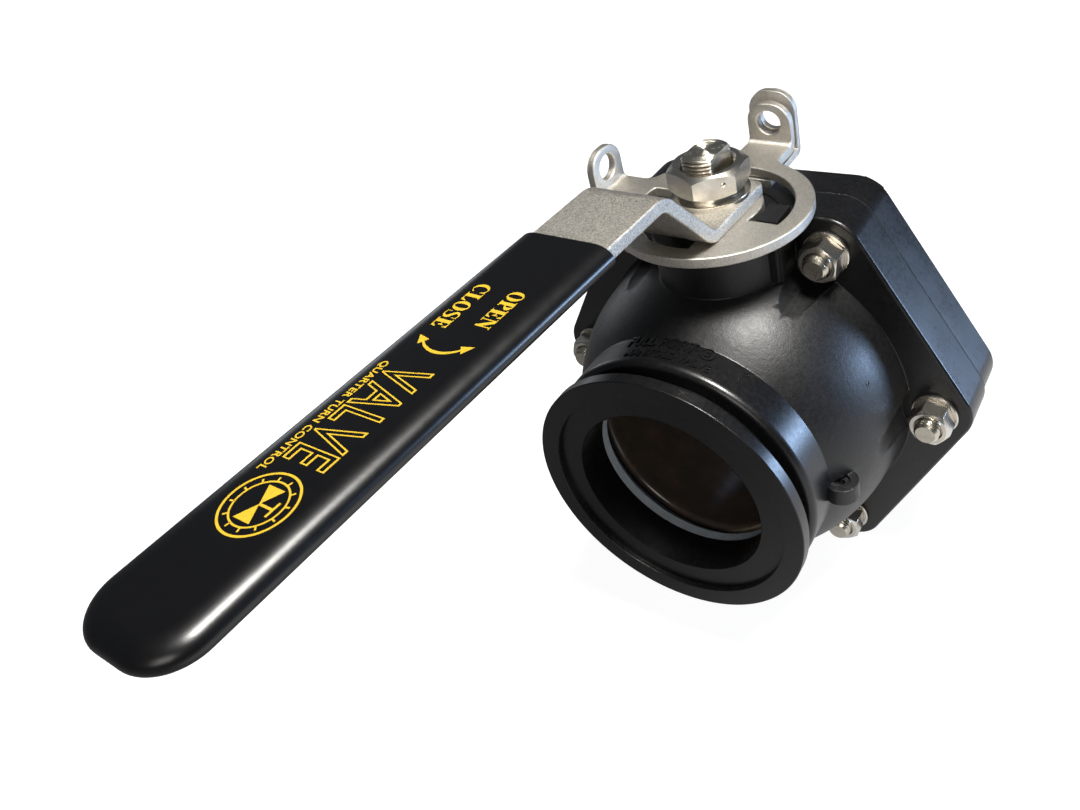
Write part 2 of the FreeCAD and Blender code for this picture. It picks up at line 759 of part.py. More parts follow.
def make_end_cap():
    """Rear shell: bolting flange, short dome and the second pipe end."""
    body = new_body("end_cap")
    cavity = reach_at(S["cavity_radius"], S["parting_plane"])
    front = [
        (S["collar_radius"], S["parting_plane"]),
        (cavity, S["parting_plane"], "v"),
    ]
    corners = pipe_end(1) + front + seat_pocket(1)
    arcs = {9: (S["cavity_radius"], 1)}
    revolve(body, "shell", loop_sketch(body, "shell_profile", "XY_Plane", corners, arcs))
    hex_flange(body, "flange", S["cap_flat"], S["parting_plane"], S["cap_back"] - S["parting_plane"])
    bolt_ring(body, "bolt_holes", S["bolt_radius"] + S["bolt_clearance"], S["parting_plane"],
              S["cap_back"] - S["parting_plane"])
    clear_flange_bore(body, cavity)
    hole_radius = S["screw_radius"] + S["screw_clearance"]
    for number, side in enumerate((-1, 1), start=1):
        spot = (S["screw_x"] * side, S["screw_y"], hole_radius)
        outline = circle_sketch(body, f"screw_outline_{number}", "XY_Plane", [spot], S["cap_flat"])
        pocket(body, f"screw_hole_{number}", outline, S["screw_length"])
    soften_rim(body, 1)
    soften_flange(body, S["cap_flat"], S["cap_back"], ZERO)
    place(body)
    return body


def clear_flange_bore(body, cavity):
    """Open the flange again for the ball and the seat."""
    corners = [(ZERO, S["parting_plane"]), (cavity, S["parting_plane"], "v")]
    corners += seat_pocket(1)[:2]
    corners += [(ZERO, S["seat_reach"])]
    sketch = loop_sketch(body, "cavity_profile", "XY_Plane", corners, {1: (S["cavity_radius"], 1)})
    groove(body, "cavity", sketch)


def make_seal_ring(label, radius, section, y=None, z=None):
    """A round-section seal about the pipe axis at y, or about the stem axis at z."""
    ring = DOC.addObject("Part::Torus", label)
    ring.Label = label
    bind(ring, "Radius1", radius)
    bind(ring, "Radius2", section)
    if y is not None:
        spot = S["face_reach"] + y
        ring.Placement = FreeCAD.Placement(FreeCAD.Vector(0, spot.value, 0),
                                           FreeCAD.Rotation(FreeCAD.Vector(1, 0, 0), 90))
        bind(ring, "Placement.Base.y", spot)
    else:
        place(ring, z=z)
    return ring


def make_seat(label, side):
    """A moulded seat with a spherical face for the ball and a step for its seal ring."""
    body = new_body(label)
    face_radius = S["ball_radius"] + S["ball_clearance"]
    back = S["seat_reach"] * side
    step = (S["seat_reach"] - S["seat_ring_section"] * 2) * side
    outer_edge = reach_at(face_radius, S["seat_outer_radius"]) * side
    inner_edge = reach_at(face_radius, S["seat_inner_radius"]) * side
    corners = [
        (S["seat_inner_radius"], back),
        (S["seat_step_radius"], back),
        (S["seat_step_radius"], step),
        (S["seat_outer_radius"], step),
        (S["seat_outer_radius"], outer_edge, "u"),
        (S["seat_inner_radius"], inner_edge, "u"),
    ]
    arcs = {4: (face_radius, side)}
    revolve(body, "ring", loop_sketch(body, "ring_profile", "XY_Plane", corners, arcs))
    place(body)
    return body


def make_ball():
    """The ball with its port bore and the slot that takes the stem tang."""
    body = new_body("ball")
    sphere = new_sketch(body, "sphere_profile", "XY_Plane", 0)
    circle = Part.Circle(FreeCAD.Vector(0, 0, 0), FreeCAD.Vector(0, 0, 1), S["ball_radius"].value)
    arc = sphere.addGeometry(Part.ArcOfCircle(circle, -math.pi / 2, math.pi / 2), False)
    first = FreeCAD.Vector(0, S["ball_radius"].value, 0)
    second = FreeCAD.Vector(0, -S["ball_radius"].value, 0)
    line = sphere.addGeometry(Part.LineSegment(first, second), False)
    sphere.addConstraint(Sketcher.Constraint("Coincident", arc, 2, line, 1))
    sphere.addConstraint(Sketcher.Constraint("Coincident", line, 2, arc, 1))
    sphere.addConstraint(Sketcher.Constraint("Coincident", arc, 3, -1, 1))
    sphere.addConstraint(Sketcher.Constraint("PointOnObject", line, 1, -2))
    set_radius(sphere, arc, S["ball_radius"])
    revolve(body, "sphere", sphere)
    bore = circle_sketch(body, "bore_outline", "XZ_Plane", [(ZERO, ZERO, S["ball_bore_radius"])])
    pocket(body, "bore", bore, S["ball_radius"] * 2, both=True)
    rim = reach_at(S["ball_radius"], S["ball_bore_radius"])
    soften(body, "rim", "Fillet", S["ball_rim_round"],
           lambda edge: ring_edge(edge, S["ball_bore_radius"], rim)
           or ring_edge(edge, S["ball_bore_radius"], -rim))
    top = S["ball_radius"] + S["overrun"]
    slot = rectangle(-S["slot_half_width"], S["slot_floor"], S["slot_half_width"], top)
    pocket(body, "slot", loop_sketch(body, "slot_outline", "YZ_Plane", slot), S["ball_radius"] * 2, both=True)
    place(body, turn=S["rest_turn"].value)
    return body


def make_stem():
    """The stem: tang, shoulder, sealed shaft and the flatted, threaded neck."""
    body = new_body("stem")
    shoulder_top = S["shoulder_bottom"] + S["shoulder_height"]
    corners = [
        (ZERO, S["shoulder_bottom"]),
        (S["shoulder_radius"], S["shoulder_bottom"]),
        (S["shoulder_radius"], shoulder_top),
        (S["shaft_radius"], shoulder_top),
        (S["shaft_radius"], S["plate_bottom"]),
        (S["neck_radius"], S["plate_bottom"]),
        (S["neck_radius"], S["neck_top"] - S["neck_chamfer"]),
        (S["neck_radius"] - S["neck_chamfer"], S["neck_top"]),
        (ZERO, S["neck_top"]),
    ]
    revolve(body, "turned", loop_sketch(body, "turned_profile", "XZ_Plane", corners))
    for number in range(2):
        middle = S["seal_lower"] + S["seal_pitch"] * number
        low = middle - S["seal_groove_width"] / 2
        high = middle + S["seal_groove_width"] / 2
        cut = rectangle(S["seal_groove_radius"], low, S["shaft_radius"] + S["overrun"], high)
        groove(body, f"seal_groove_{number}", loop_sketch(body, f"seal_profile_{number}", "XZ_Plane", cut))
    for number, side in enumerate((-1, 1)):
        flat = S["neck_flat"] * side
        outside = (S["neck_radius"] + S["overrun"]) * side
        left, right = (outside, flat) if side < 0 else (flat, outside)
        cut = rectangle(left, -S["neck_radius"], right, S["neck_radius"])
        sketch = loop_sketch(body, f"flat_outline_{number}", "XY_Plane", cut, offset=S["neck_top"])
        pocket(body, f"flat_{number}", sketch, S["neck_top"] - S["plate_bottom"])
    tang_half = S["slot_half_width"] - S["tang_clearance"]
    tang = rectangle(-S["tang_half_length"], -tang_half, S["tang_half_length"], tang_half)
    pad(body, "tang", loop_sketch(body, "tang_outline", "XY_Plane", tang, offset=S["tang_bottom"]),
        S["shoulder_bottom"] - S["tang_bottom"])
    place(body, turn=S["rest_turn"].value)
    return body


def make_stem_seals():
    """Two round-section seals in the grooves of the shaft."""
    section = (S["shaft_radius"] - S["seal_groove_radius"]) / 2
    radius = S["seal_groove_radius"] + section
    rings = []
    for number in range(2):
        height = S["seal_lower"] + S["seal_pitch"] * number
        rings.append(make_seal_ring(f"stem_seal_{number + 1}", radius, section, z=height))
    pair = DOC.addObject("Part::Compound", "stem_o_rings")
    pair.Label = "stem_o_rings"
    pair.Links = rings
    return pair


def make_disc(label, inner, outer, thickness, z, turn=0.0):
    """A flat ring about the stem axis."""
    body = new_body(label)
    circles = [(ZERO, ZERO, outer), (ZERO, ZERO, inner)]
    pad(body, "ring", circle_sketch(body, "ring_outline", "XY_Plane", circles), thickness)
    place(body, z=z, turn=turn)
    return body


def make_stop_plate():
    """Stop plate with two quarter-turn slots and two upright padlock ears."""
    body = new_body("stop_plate")
    pad(body, "disc", circle_sketch(body, "disc_outline", "XY_Plane", [(ZERO, ZERO, S["plate_radius"])]),
        S["plate_thickness"])
    back_end = S["back_ear_inner"] + S["ear_thickness"]
    left_end = S["left_ear_inner"] + S["ear_thickness"]
    start = S["plate_slot_outer"] + S["overrun"]
    half = S["ear_half_width"]
    back_low, back_high = S["back_ear_shift"] - half, S["back_ear_shift"] + half
    left_low, left_high = S["left_ear_shift"] - half, S["left_ear_shift"] + half
    back_tab = rectangle(back_low, start, back_high, back_end)
    left_tab = rectangle(-left_end, left_low, -start, left_high)
    pad(body, "tab_back", loop_sketch(body, "tab_back_outline", "XY_Plane", back_tab), S["plate_thickness"])
    pad(body, "tab_left", loop_sketch(body, "tab_left_outline", "XY_Plane", left_tab), S["plate_thickness"])
    spots = [(side.value, reach_at(S["plate_radius"], side)) for side in (back_low, back_high)]
    spots += [(-reach_at(S["plate_radius"], side), side.value) for side in (left_low, left_high)]

    def neck_corner(edge):
        middle = edge.CenterOfMass
        return line_edge(edge, "z") and any(near(middle.x, u) and near(middle.y, v) for u, v in spots)

    soften(body, "tab_blend", "Fillet", S["tab_blend"], neck_corner)
    add_stop_slots(body)
    add_ear(body, "ear_back", "XZ_Plane", -back_end, S["back_ear_shift"])
    add_ear(body, "ear_left", "YZ_Plane", -left_end, S["left_ear_shift"])
    bend_ear(body, "bend_back", "x", "y", S["back_ear_inner"], back_end)
    bend_ear(body, "bend_left", "y", "x", -S["left_ear_inner"], -left_end)
    shape, arcs = double_d(S["neck_radius"] + S["neck_fit"], S["neck_flat"] + S["neck_fit"])
    pocket(body, "stem_hole", loop_sketch(body, "stem_hole_outline", "XY_Plane", shape, arcs),
           S["plate_thickness"], back=True)
    place(body, z=S["plate_bottom"], turn=S["rest_turn"].value)
    return body


def add_stop_slots(body):
    """The slot the stop post runs in, and the same slot on the other side."""
    edge = S["post_half_width"] + S["post_play"]
    inner = reach_at(S["plate_slot_inner"], edge)
    outer = reach_at(S["plate_slot_outer"], edge)
    corners = [
        (inner, -edge, "v"),
        (outer, -edge, "v"),
        (-edge, outer, "u"),
        (-edge, inner, "u"),
    ]
    arcs = {1: (S["plate_slot_outer"], 1), 3: (S["plate_slot_inner"], -1)}
    sketch = loop_sketch(body, "slot_outline", "XY_Plane", corners, arcs)
    feature = pocket(body, "slot", sketch, S["plate_thickness"], back=True)
    repeat(body, "slots", [feature], "Z_Axis", 2)


def add_ear(body, name, role, offset, shift):
    """An upright ear with a rounded top and a padlock hole; its outer face lies at the offset."""
    half = S["ear_half_width"]
    top = S["ear_top"] - S["plate_bottom"]
    height = S["ear_hole_height"] - S["plate_bottom"]
    outline = rectangle(shift - half, ZERO, shift + half, top)
    sketch = loop_sketch(body, f"{name}_outline", role, outline, offset=offset,
                         hole=(shift, height, S["ear_hole_radius"]))
    pad(body, name, sketch, S["ear_thickness"], back=False)
    along = "y" if role == "XZ_Plane" else "x"
    across = "x" if role == "XZ_Plane" else "y"

    def top_corner(edge):
        middle = edge.CenterOfMass
        far = near(abs(getattr(middle, across) - shift.value), half)
        return line_edge(edge, along) and far and near(middle.z, top)

    soften(body, f"{name}_top", "Fillet", S["ear_round"], top_corner)


def bend_ear(body, name, along, across, inner, outer):
    """Round the two edges where the sheet bends up into an ear."""
    def bend(edge, place, height):
        middle = edge.CenterOfMass
        return line_edge(edge, along) and near(getattr(middle, across), place) and near(middle.z, height)

    soften(body, f"{name}_inner", "Fillet", S["ear_bend_inner"],
           lambda edge: bend(edge, inner, S["plate_thickness"]))
    soften(body, f"{name}_outer", "Fillet", S["ear_bend_inner"] + S["ear_thickness"],
           lambda edge: bend(edge, outer, 0))


def make_lock_bracket():
    """Fixed bracket on the cap flange whose ear lines up with an ear of the stop plate."""
    body = new_body("lock_bracket")
    half = S["bracket_half_width"]
    thickness = S["bracket_thickness"]
    back = S["bracket_ear_front"] + thickness
    foot = rectangle(-half, S["bracket_front"], half, back)
    pad(body, "foot", loop_sketch(body, "foot_outline", "XY_Plane", foot), thickness)
    top = S["bracket_top"] - S["cap_flat"]
    hole_height = S["ear_hole_height"] - S["cap_flat"]
    ear = loop_sketch(body, "ear_outline", "XZ_Plane", rectangle(-half, ZERO, half, top), offset=-back,
                      hole=(ZERO, hole_height, S["ear_hole_radius"]))
    pad(body, "ear", ear, thickness)

    def top_corner(edge):
        middle = edge.CenterOfMass
        return line_edge(edge, "y") and near(abs(middle.x), half) and near(middle.z, top)

    def bend(edge):
        middle = edge.CenterOfMass
        return line_edge(edge, "x") and near(middle.y, back) and near(middle.z, 0)

    soften(body, "ear_top", "Fillet", S["bracket_round"], top_corner)
    soften(body, "bend", "Fillet", thickness, bend)
    for number, side in enumerate((-1, 1), start=1):
        spot = (S["screw_x"] * side, S["screw_y"], S["screw_radius"] + S["screw_clearance"])
        pocket(body, f"screw_hole_{number}", circle_sketch(body, f"screw_{number}", "XY_Plane", [spot]),
               thickness, back=True)
        sink_screw(body, number)
    place(body, z=S["cap_flat"])
    return body


def sink_screw(body, number):
    """Widen the rim of a screw hole to seat the countersunk head."""
    side = -1 if number == 1 else 1
    spread = S["screw_head_radius"] - S["screw_radius"]

    def rim(edge):
        if not isinstance(edge.Curve, Part.Circle):
            return False
        centre = edge.Curve.Center
        small = near(edge.Curve.Radius, S["screw_radius"] + S["screw_clearance"])
        return small and near(centre.x, S["screw_x"] * side) and near(centre.z, S["bracket_thickness"])

    soften(body, f"screw_sink_{number}", "Chamfer", spread, rim)


def make_bracket_screws():
    """Two countersunk screws that hold the bracket to the cap."""
    body = new_body("bracket_screws")
    features = []
    depth = S["screw_length"] - S["overrun"]
    for number, side in enumerate((-1, 1), start=1):
        centre = S["screw_x"] * side
        shank = circle_sketch(body, f"shank_outline_{number}", "XY_Plane",
                              [(centre, ZERO, S["screw_radius"])])
        features.append(pad(body, f"shank_{number}", shank, depth + S["bracket_thickness"], back=True))
        spread = S["screw_head_radius"] - S["screw_radius"]
        disc = circle_sketch(body, f"head_outline_{number}", "XY_Plane",
                             [(centre, ZERO, S["screw_head_radius"])])
        head = pad(body, f"head_{number}", disc, spread, back=True)

        def under(edge, x=centre.value, low=-spread.value):
            if not isinstance(edge.Curve, Part.Circle):
                return False
            middle = edge.Curve.Center
            wide = near(edge.Curve.Radius, S["screw_head_radius"])
            return wide and near(middle.x, x) and near(middle.z, low)

        soften(body, f"taper_{number}", "Chamfer", spread - S["screw_edge"], under)
        features.append(head)
    place(body, y=S["screw_y"], z=S["cap_flat"] + S["bracket_thickness"])
    return body


def make_bolts():
    """Six hex-head bolts through both flanges, heads at the back."""
    body = new_body("flange_bolts")
    head_front = S["cap_back"] + S["washer_thickness"]
    shank = circle_sketch(body, "shank_outline", "XZ_Plane", [(S["bolt_circle"], ZERO, S["bolt_radius"])],
                          S["bolt_tip"])
    shank_pad = pad(body, "shank", shank, S["bolt_tip"] + head_front, back=True)

    def tip(edge):
        if not isinstance(edge.Curve, Part.Circle):
            return False
        return near(edge.Curve.Center.y, -S["bolt_tip"].value)

    point = soften(body, "point", "Chamfer", S["bolt_tip_chamfer"], tip)
    corners = hexagon(S["hex_flats"], 0.0, S["bolt_circle"], ZERO)
    head = loop_sketch(body, "head_outline", "XZ_Plane", corners, offset=-head_front)
    head_pad = pad(body, "head", head, S["head_height"], back=True)
    repeat(body, "six", [shank_pad, point, head_pad], "Y_Axis", 6)
    place(body)
    return body


def make_nuts():
    """Six hex nuts on the bolts in front of the flange."""
    body = new_body("bolt_nuts")
    corners = hexagon(S["hex_flats"], 0.0, S["bolt_circle"], ZERO)
    hole = (S["bolt_circle"], ZERO, S["bolt_radius"] + S["screw_clearance"])
    sketch = loop_sketch(body, "nut_outline", "XZ_Plane", corners, offset=-S["nut_front"], hole=hole)
    nut = pad(body, "nut", sketch, S["nut_height"], back=True)
    repeat(body, "six", [nut], "Y_Axis", 6)
    place(body)
    return body


def make_bolt_washers(label, front):
    """Six flat washers on the bolt circle."""
    body = new_body(label)
    hole_radius = S["bolt_radius"] + S["bolt_clearance"]
    circles = [(S["bolt_circle"], ZERO, S["washer_radius"]), (S["bolt_circle"], ZERO, hole_radius)]
    washer = pad(body, "washer", circle_sketch(body, "washer_outline", "XZ_Plane", circles),
                 S["washer_thickness"], back=True)
    repeat(body, "six", [washer], "Y_Axis", 6)
    place(body, y=front)
    return body


def make_handle_bar():
    """Flat steel bar bent up and out to the grip."""
    body = new_body("handle_bar")
    thickness = S["bar_thickness"]
    rise = S["bend_rise"]
    top = rise + thickness
    corners = [
        (S["bar_back"], ZERO),
        (S["bar_back"], thickness),
        (S["bend_lower_y"] + S["bend_shift"], thickness),
        (S["bend_upper_y"] + S["bend_shift"], top),
        (S["bar_end"], top),
        (S["bar_end"], rise),
        (S["bend_upper_y"], rise),
        (S["bend_lower_y"], ZERO),
    ]
    sketch = loop_sketch(body, "side_view", "YZ_Plane", corners)
    pad(body, "bar", sketch, S["bar_half_width"] * 2, both=True)
    outer_round = S["bend_inner_round"] + thickness

    def cross_edge(edge, y, z):
        middle = edge.CenterOfMass
        return line_edge(edge, "x") and near(middle.y, y) and near(middle.z, z)

    soften(body, "inner_bends", "Fillet", S["bend_inner_round"],
           lambda edge: cross_edge(edge, S["bend_lower_y"] + S["bend_shift"], thickness)
           or cross_edge(edge, S["bend_upper_y"], rise))
    soften(body, "outer_bends", "Fillet", outer_round,
           lambda edge: cross_edge(edge, S["bend_lower_y"], ZERO)
           or cross_edge(edge, S["bend_upper_y"] + S["bend_shift"], top))

    def end_edge(edge, y):
        middle = edge.CenterOfMass
        return line_edge(edge, "z") and near(middle.y, y)

    soften(body, "back_corners", "Fillet", S["bar_back_round"], lambda edge: end_edge(edge, S["bar_back"]))
    soften(body, "end_corners", "Fillet", S["bar_end_round"], lambda edge: end_edge(edge, S["bar_end"]))
    shape, arcs = double_d(S["neck_radius"] + S["neck_fit"], S["neck_flat"] + S["neck_fit"])
    pocket(body, "stem_hole", loop_sketch(body, "stem_hole_outline", "XY_Plane", shape, arcs),
           thickness, back=True)
    place(body, z=S["bar_bottom"], turn=S["rest_turn"].value)
    return body


def make_handle_grip():
    """Dipped vinyl sleeve over the outer part of the bar."""
    body = new_body("handle_grip")
    half = S["grip_half_width"]
    outline = rectangle(-half, S["grip_end"], half, S["grip_start"])
    pad(body, "sleeve", loop_sketch(body, "sleeve_outline", "XY_Plane", outline),
        S["grip_half_thickness"] * 2, both=True)

    def tip_corner(edge):
        middle = edge.CenterOfMass
        return line_edge(edge, "z") and near(middle.y, S["grip_end"])

    def long_edge(edge):
        box = edge.BoundBox
        level = near(abs(box.ZMin), S["grip_half_thickness"]) and near(box.ZMin, box.ZMax)
        return level and not near(box.YMin, S["grip_start"])

    soften(body, "tip", "Fillet", S["grip_corner_round"], tip_corner)
    soften(body, "edges", "Fillet", S["grip_edge_round"], long_edge)
    gap = S["grip_clearance"]
    width = S["bar_half_width"] + gap
    end = S["bar_end"] - gap
    inside = rectangle(-width, end, width, S["grip_start"])
    pocket(body, "inside", loop_sketch(body, "inside_outline", "XY_Plane", inside),
           S["bar_thickness"] + gap * 2, both=True)

    def inner_corner(edge):
        middle = edge.CenterOfMass
        return line_edge(edge, "z") and near(middle.y, end) and near(abs(middle.x), width)

    soften(body, "inner_tip", "Fillet", S["bar_end_round"] + gap, inner_corner)
    height = S["bar_bottom"] + S["bend_rise"] + S["bar_thickness"] / 2
    place(body, z=height, turn=S["rest_turn"].value)
    return body


def make_spring_washer(z):
    """Split lock washer with a slanted gap."""
    body = new_body("spring_washer")
    circles = [(ZERO, ZERO, S["spring_washer_radius"]), (ZERO, ZERO, S["neck_radius"] + S["neck_fit"])]
    pad(body, "ring", circle_sketch(body, "ring_outline", "XY_Plane", circles), S["spring_washer_thickness"])
    width = S["spring_split_width"] / 2
    lean = S["spring_split_lean"] / 2
    high = S["spring_washer_thickness"]
    corners = [(-width - lean, ZERO), (width - lean, ZERO), (width + lean, high), (-width + lean, high)]
    sketch = loop_sketch(body, "split_outline", "YZ_Plane", corners)
    pocket(body, "split", sketch, S["spring_washer_radius"] + S["overrun"], back=True)
    place(body, z=z, turn=S["spring_split_turn"].value)
    return body


def make_stem_nut(z):
    """Hex nut on the stem with chamfered corners on top."""
    body = new_body("stem_nut")
    sketch = loop_sketch(body, "nut_outline", "XY_Plane", hexagon(S["stem_nut_flats"]),
                         hole=(ZERO, ZERO, S["neck_radius"] + S["neck_fit"]))
    pad(body, "nut", sketch, S["stem_nut_height"])
    corner = S["stem_nut_flats"] * (HEX_CORNER / 2)
    flat = S["stem_nut_flats"] / 2
    high = S["stem_nut_height"]
    outside = corner + S["overrun"]
    cut = [(flat, high), (outside, high), (outside, high - S["stem_nut_chamfer"])]
    groove(body, "corners", loop_sketch(body, "corner_profile", "XZ_Plane", cut))
    place(body, z=z, turn=S["stem_nut_turn"].value)
    return body


def make_everything():
    """Build all sub-parts in their places."""
    seat_ring_y = S["seat_reach"] - S["seat_ring_section"]
    shoulder_top = S["shoulder_bottom"] + S["shoulder_height"]
    shaft_hole = S["shaft_radius"] + S["running_clearance"]
    return [
        make_valve_body(),
        make_end_cap(),
        make_seal_ring("body_o_ring", S["joint_ring_radius"], S["joint_ring_section"],
                       y=S["parting_plane"] - S["joint_ring_section"]),
        make_seat("front_seat", -1),
        make_seat("rear_seat", 1),
        make_seal_ring("front_seat_o_ring", S["seat_ring_radius"], S["seat_ring_section"], y=-seat_ring_y),
        make_seal_ring("rear_seat_o_ring", S["seat_ring_radius"], S["seat_ring_section"], y=seat_ring_y),
        make_ball(),
        make_stem(),
        make_stem_seals(),
        make_disc("stem_thrust_washer", shaft_hole, S["shoulder_radius"], S["thrust_thickness"], shoulder_top,
                  S["rest_turn"].value),
        make_disc("stem_bushing", shaft_hole, S["bushing_radius"], S["bushing_height"],
                  S["bushing_floor"]),
        make_stop_plate(),
        make_handle_bar(),
        make_handle_grip(),
        make_disc("flat_washer", S["neck_radius"] + S["neck_fit"], S["flat_washer_radius"],
                  S["flat_washer_thickness"], S["bar_top"], S["rest_turn"].value),
        make_spring_washer(S["washer_top"]),
        make_stem_nut(S["spring_top"]),
        make_lock_bracket(),
        make_bracket_screws(),
        make_bolts(),
        make_nuts(),
        make_bolt_washers("nut_washers", S["flange_front"] - S["washer_thickness"]),
        make_bolt_washers("head_washers", S["cap_back"]),
    ]


def check_document():
    """Stop if any object of the document failed."""
    for thing in DOC.Objects:
        if "Invalid" in thing.State or "Error" in thing.State:
            raise ValueError(f"{thing.Label} is {thing.State}")


def write_parts(parts):
    """Check every shape, then write one STEP file for each sub-part."""
    for part in parts:
        shape = part.Shape
        if shape.isNull() or not shape.isValid() or not shape.Solids:
            raise ValueError(f"{part.Label} has no valid solid")
    os.makedirs("parts", exist_ok=True)
    for part in parts:
        part.Shape.exportStep(f"parts/{part.Label}.step")
        print(f"{part.Label}: {len(part.Shape.Solids)} solids, {part.Shape.Volume:.0f} mm3")


PARTS = make_everything()
DOC.recompute()
check_document()
write_parts(PARTS)
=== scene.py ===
"""Manifold ball valve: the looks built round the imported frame, in metres, in the row frame."""

import json
import logging
import math
from dataclasses import dataclass, field
from enum import Enum
from typing import Callable, Iterable, Optional, Sequence, Union

import bmesh
import bpy
from mathutils import Matrix, Vector


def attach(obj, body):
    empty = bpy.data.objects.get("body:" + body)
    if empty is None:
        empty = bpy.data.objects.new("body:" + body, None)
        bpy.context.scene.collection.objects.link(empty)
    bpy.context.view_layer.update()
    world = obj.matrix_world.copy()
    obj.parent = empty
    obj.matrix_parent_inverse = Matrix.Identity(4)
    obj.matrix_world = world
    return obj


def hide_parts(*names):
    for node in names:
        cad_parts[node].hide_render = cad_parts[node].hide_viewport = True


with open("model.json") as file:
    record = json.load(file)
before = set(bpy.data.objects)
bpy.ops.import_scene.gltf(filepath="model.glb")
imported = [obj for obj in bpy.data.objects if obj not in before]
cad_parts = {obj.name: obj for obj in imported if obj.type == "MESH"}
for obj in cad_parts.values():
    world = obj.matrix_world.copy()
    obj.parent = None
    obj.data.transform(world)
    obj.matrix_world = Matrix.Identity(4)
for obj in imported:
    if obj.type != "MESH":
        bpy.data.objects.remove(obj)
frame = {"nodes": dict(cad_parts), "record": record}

LOG = logging.getLogger("valve")
CENTRE_Y = 0.0663
REST_TURN = math.radians(-3.0)
SIXTH = math.radians(60.0)
MM = 0.001
STILL = Matrix.Identity(4)
WHITE = (1.0, 1.0, 1.0)

Color = tuple[float, float, float]
Point = tuple[float, float]
Place = Callable[[float, float], Point]


class Host(Enum):
    """The CAD bodies that pieces ride on."""

    HOUSING = "housing"
    HANDLE = "handle"


@dataclass(frozen=True)
class Sock:
    """A shader socket or number with arithmetic that grows the node tree."""

    tree: "Tree"
    raw: object

    def __add__(self, other: object) -> "Sock":
        return self.tree.math("ADD", self, other)

    def __sub__(self, other: object) -> "Sock":
        return self.tree.math("SUBTRACT", self, other)

    def __rsub__(self, other: object) -> "Sock":
        return self.tree.math("SUBTRACT", other, self)

    def __mul__(self, other: object) -> "Sock":
        return self.tree.math("MULTIPLY", self, other)

    def __pow__(self, other: object) -> "Sock":
        return self.tree.math("POWER", self, other)

    def clamp(self) -> "Sock":
        """The value held between 0 and 1."""
        return self.tree.math("ADD", self, 0.0, clamp=True)

    def above(self, low: float, high: float) -> "Sock":
        """A smooth step from 0 at low to 1 at high."""
        return self.tree.step(self, low, high)

    def within(self, ends: Point, soft: float) -> "Sock":
        """1 between two ends and 0 outside them, with soft edges."""
        low, high = ends
        return self.above(low - soft, low + soft) * (1.0 - self.above(high - soft, high + soft))


@dataclass(frozen=True)
class Grain:
    """A noise layer.

    It has its scale in cells to a metre, its octaves and their gain, the step that its colour passes
    through, and its shares in the colour, the roughness and the height.
    """

    scale: float
    octaves: float = 4.0
    gain: float = 0.6
    step: Optional[Point] = None
    tint: float = 0.0
    rough: float = 0.0
    height: float = 0.0


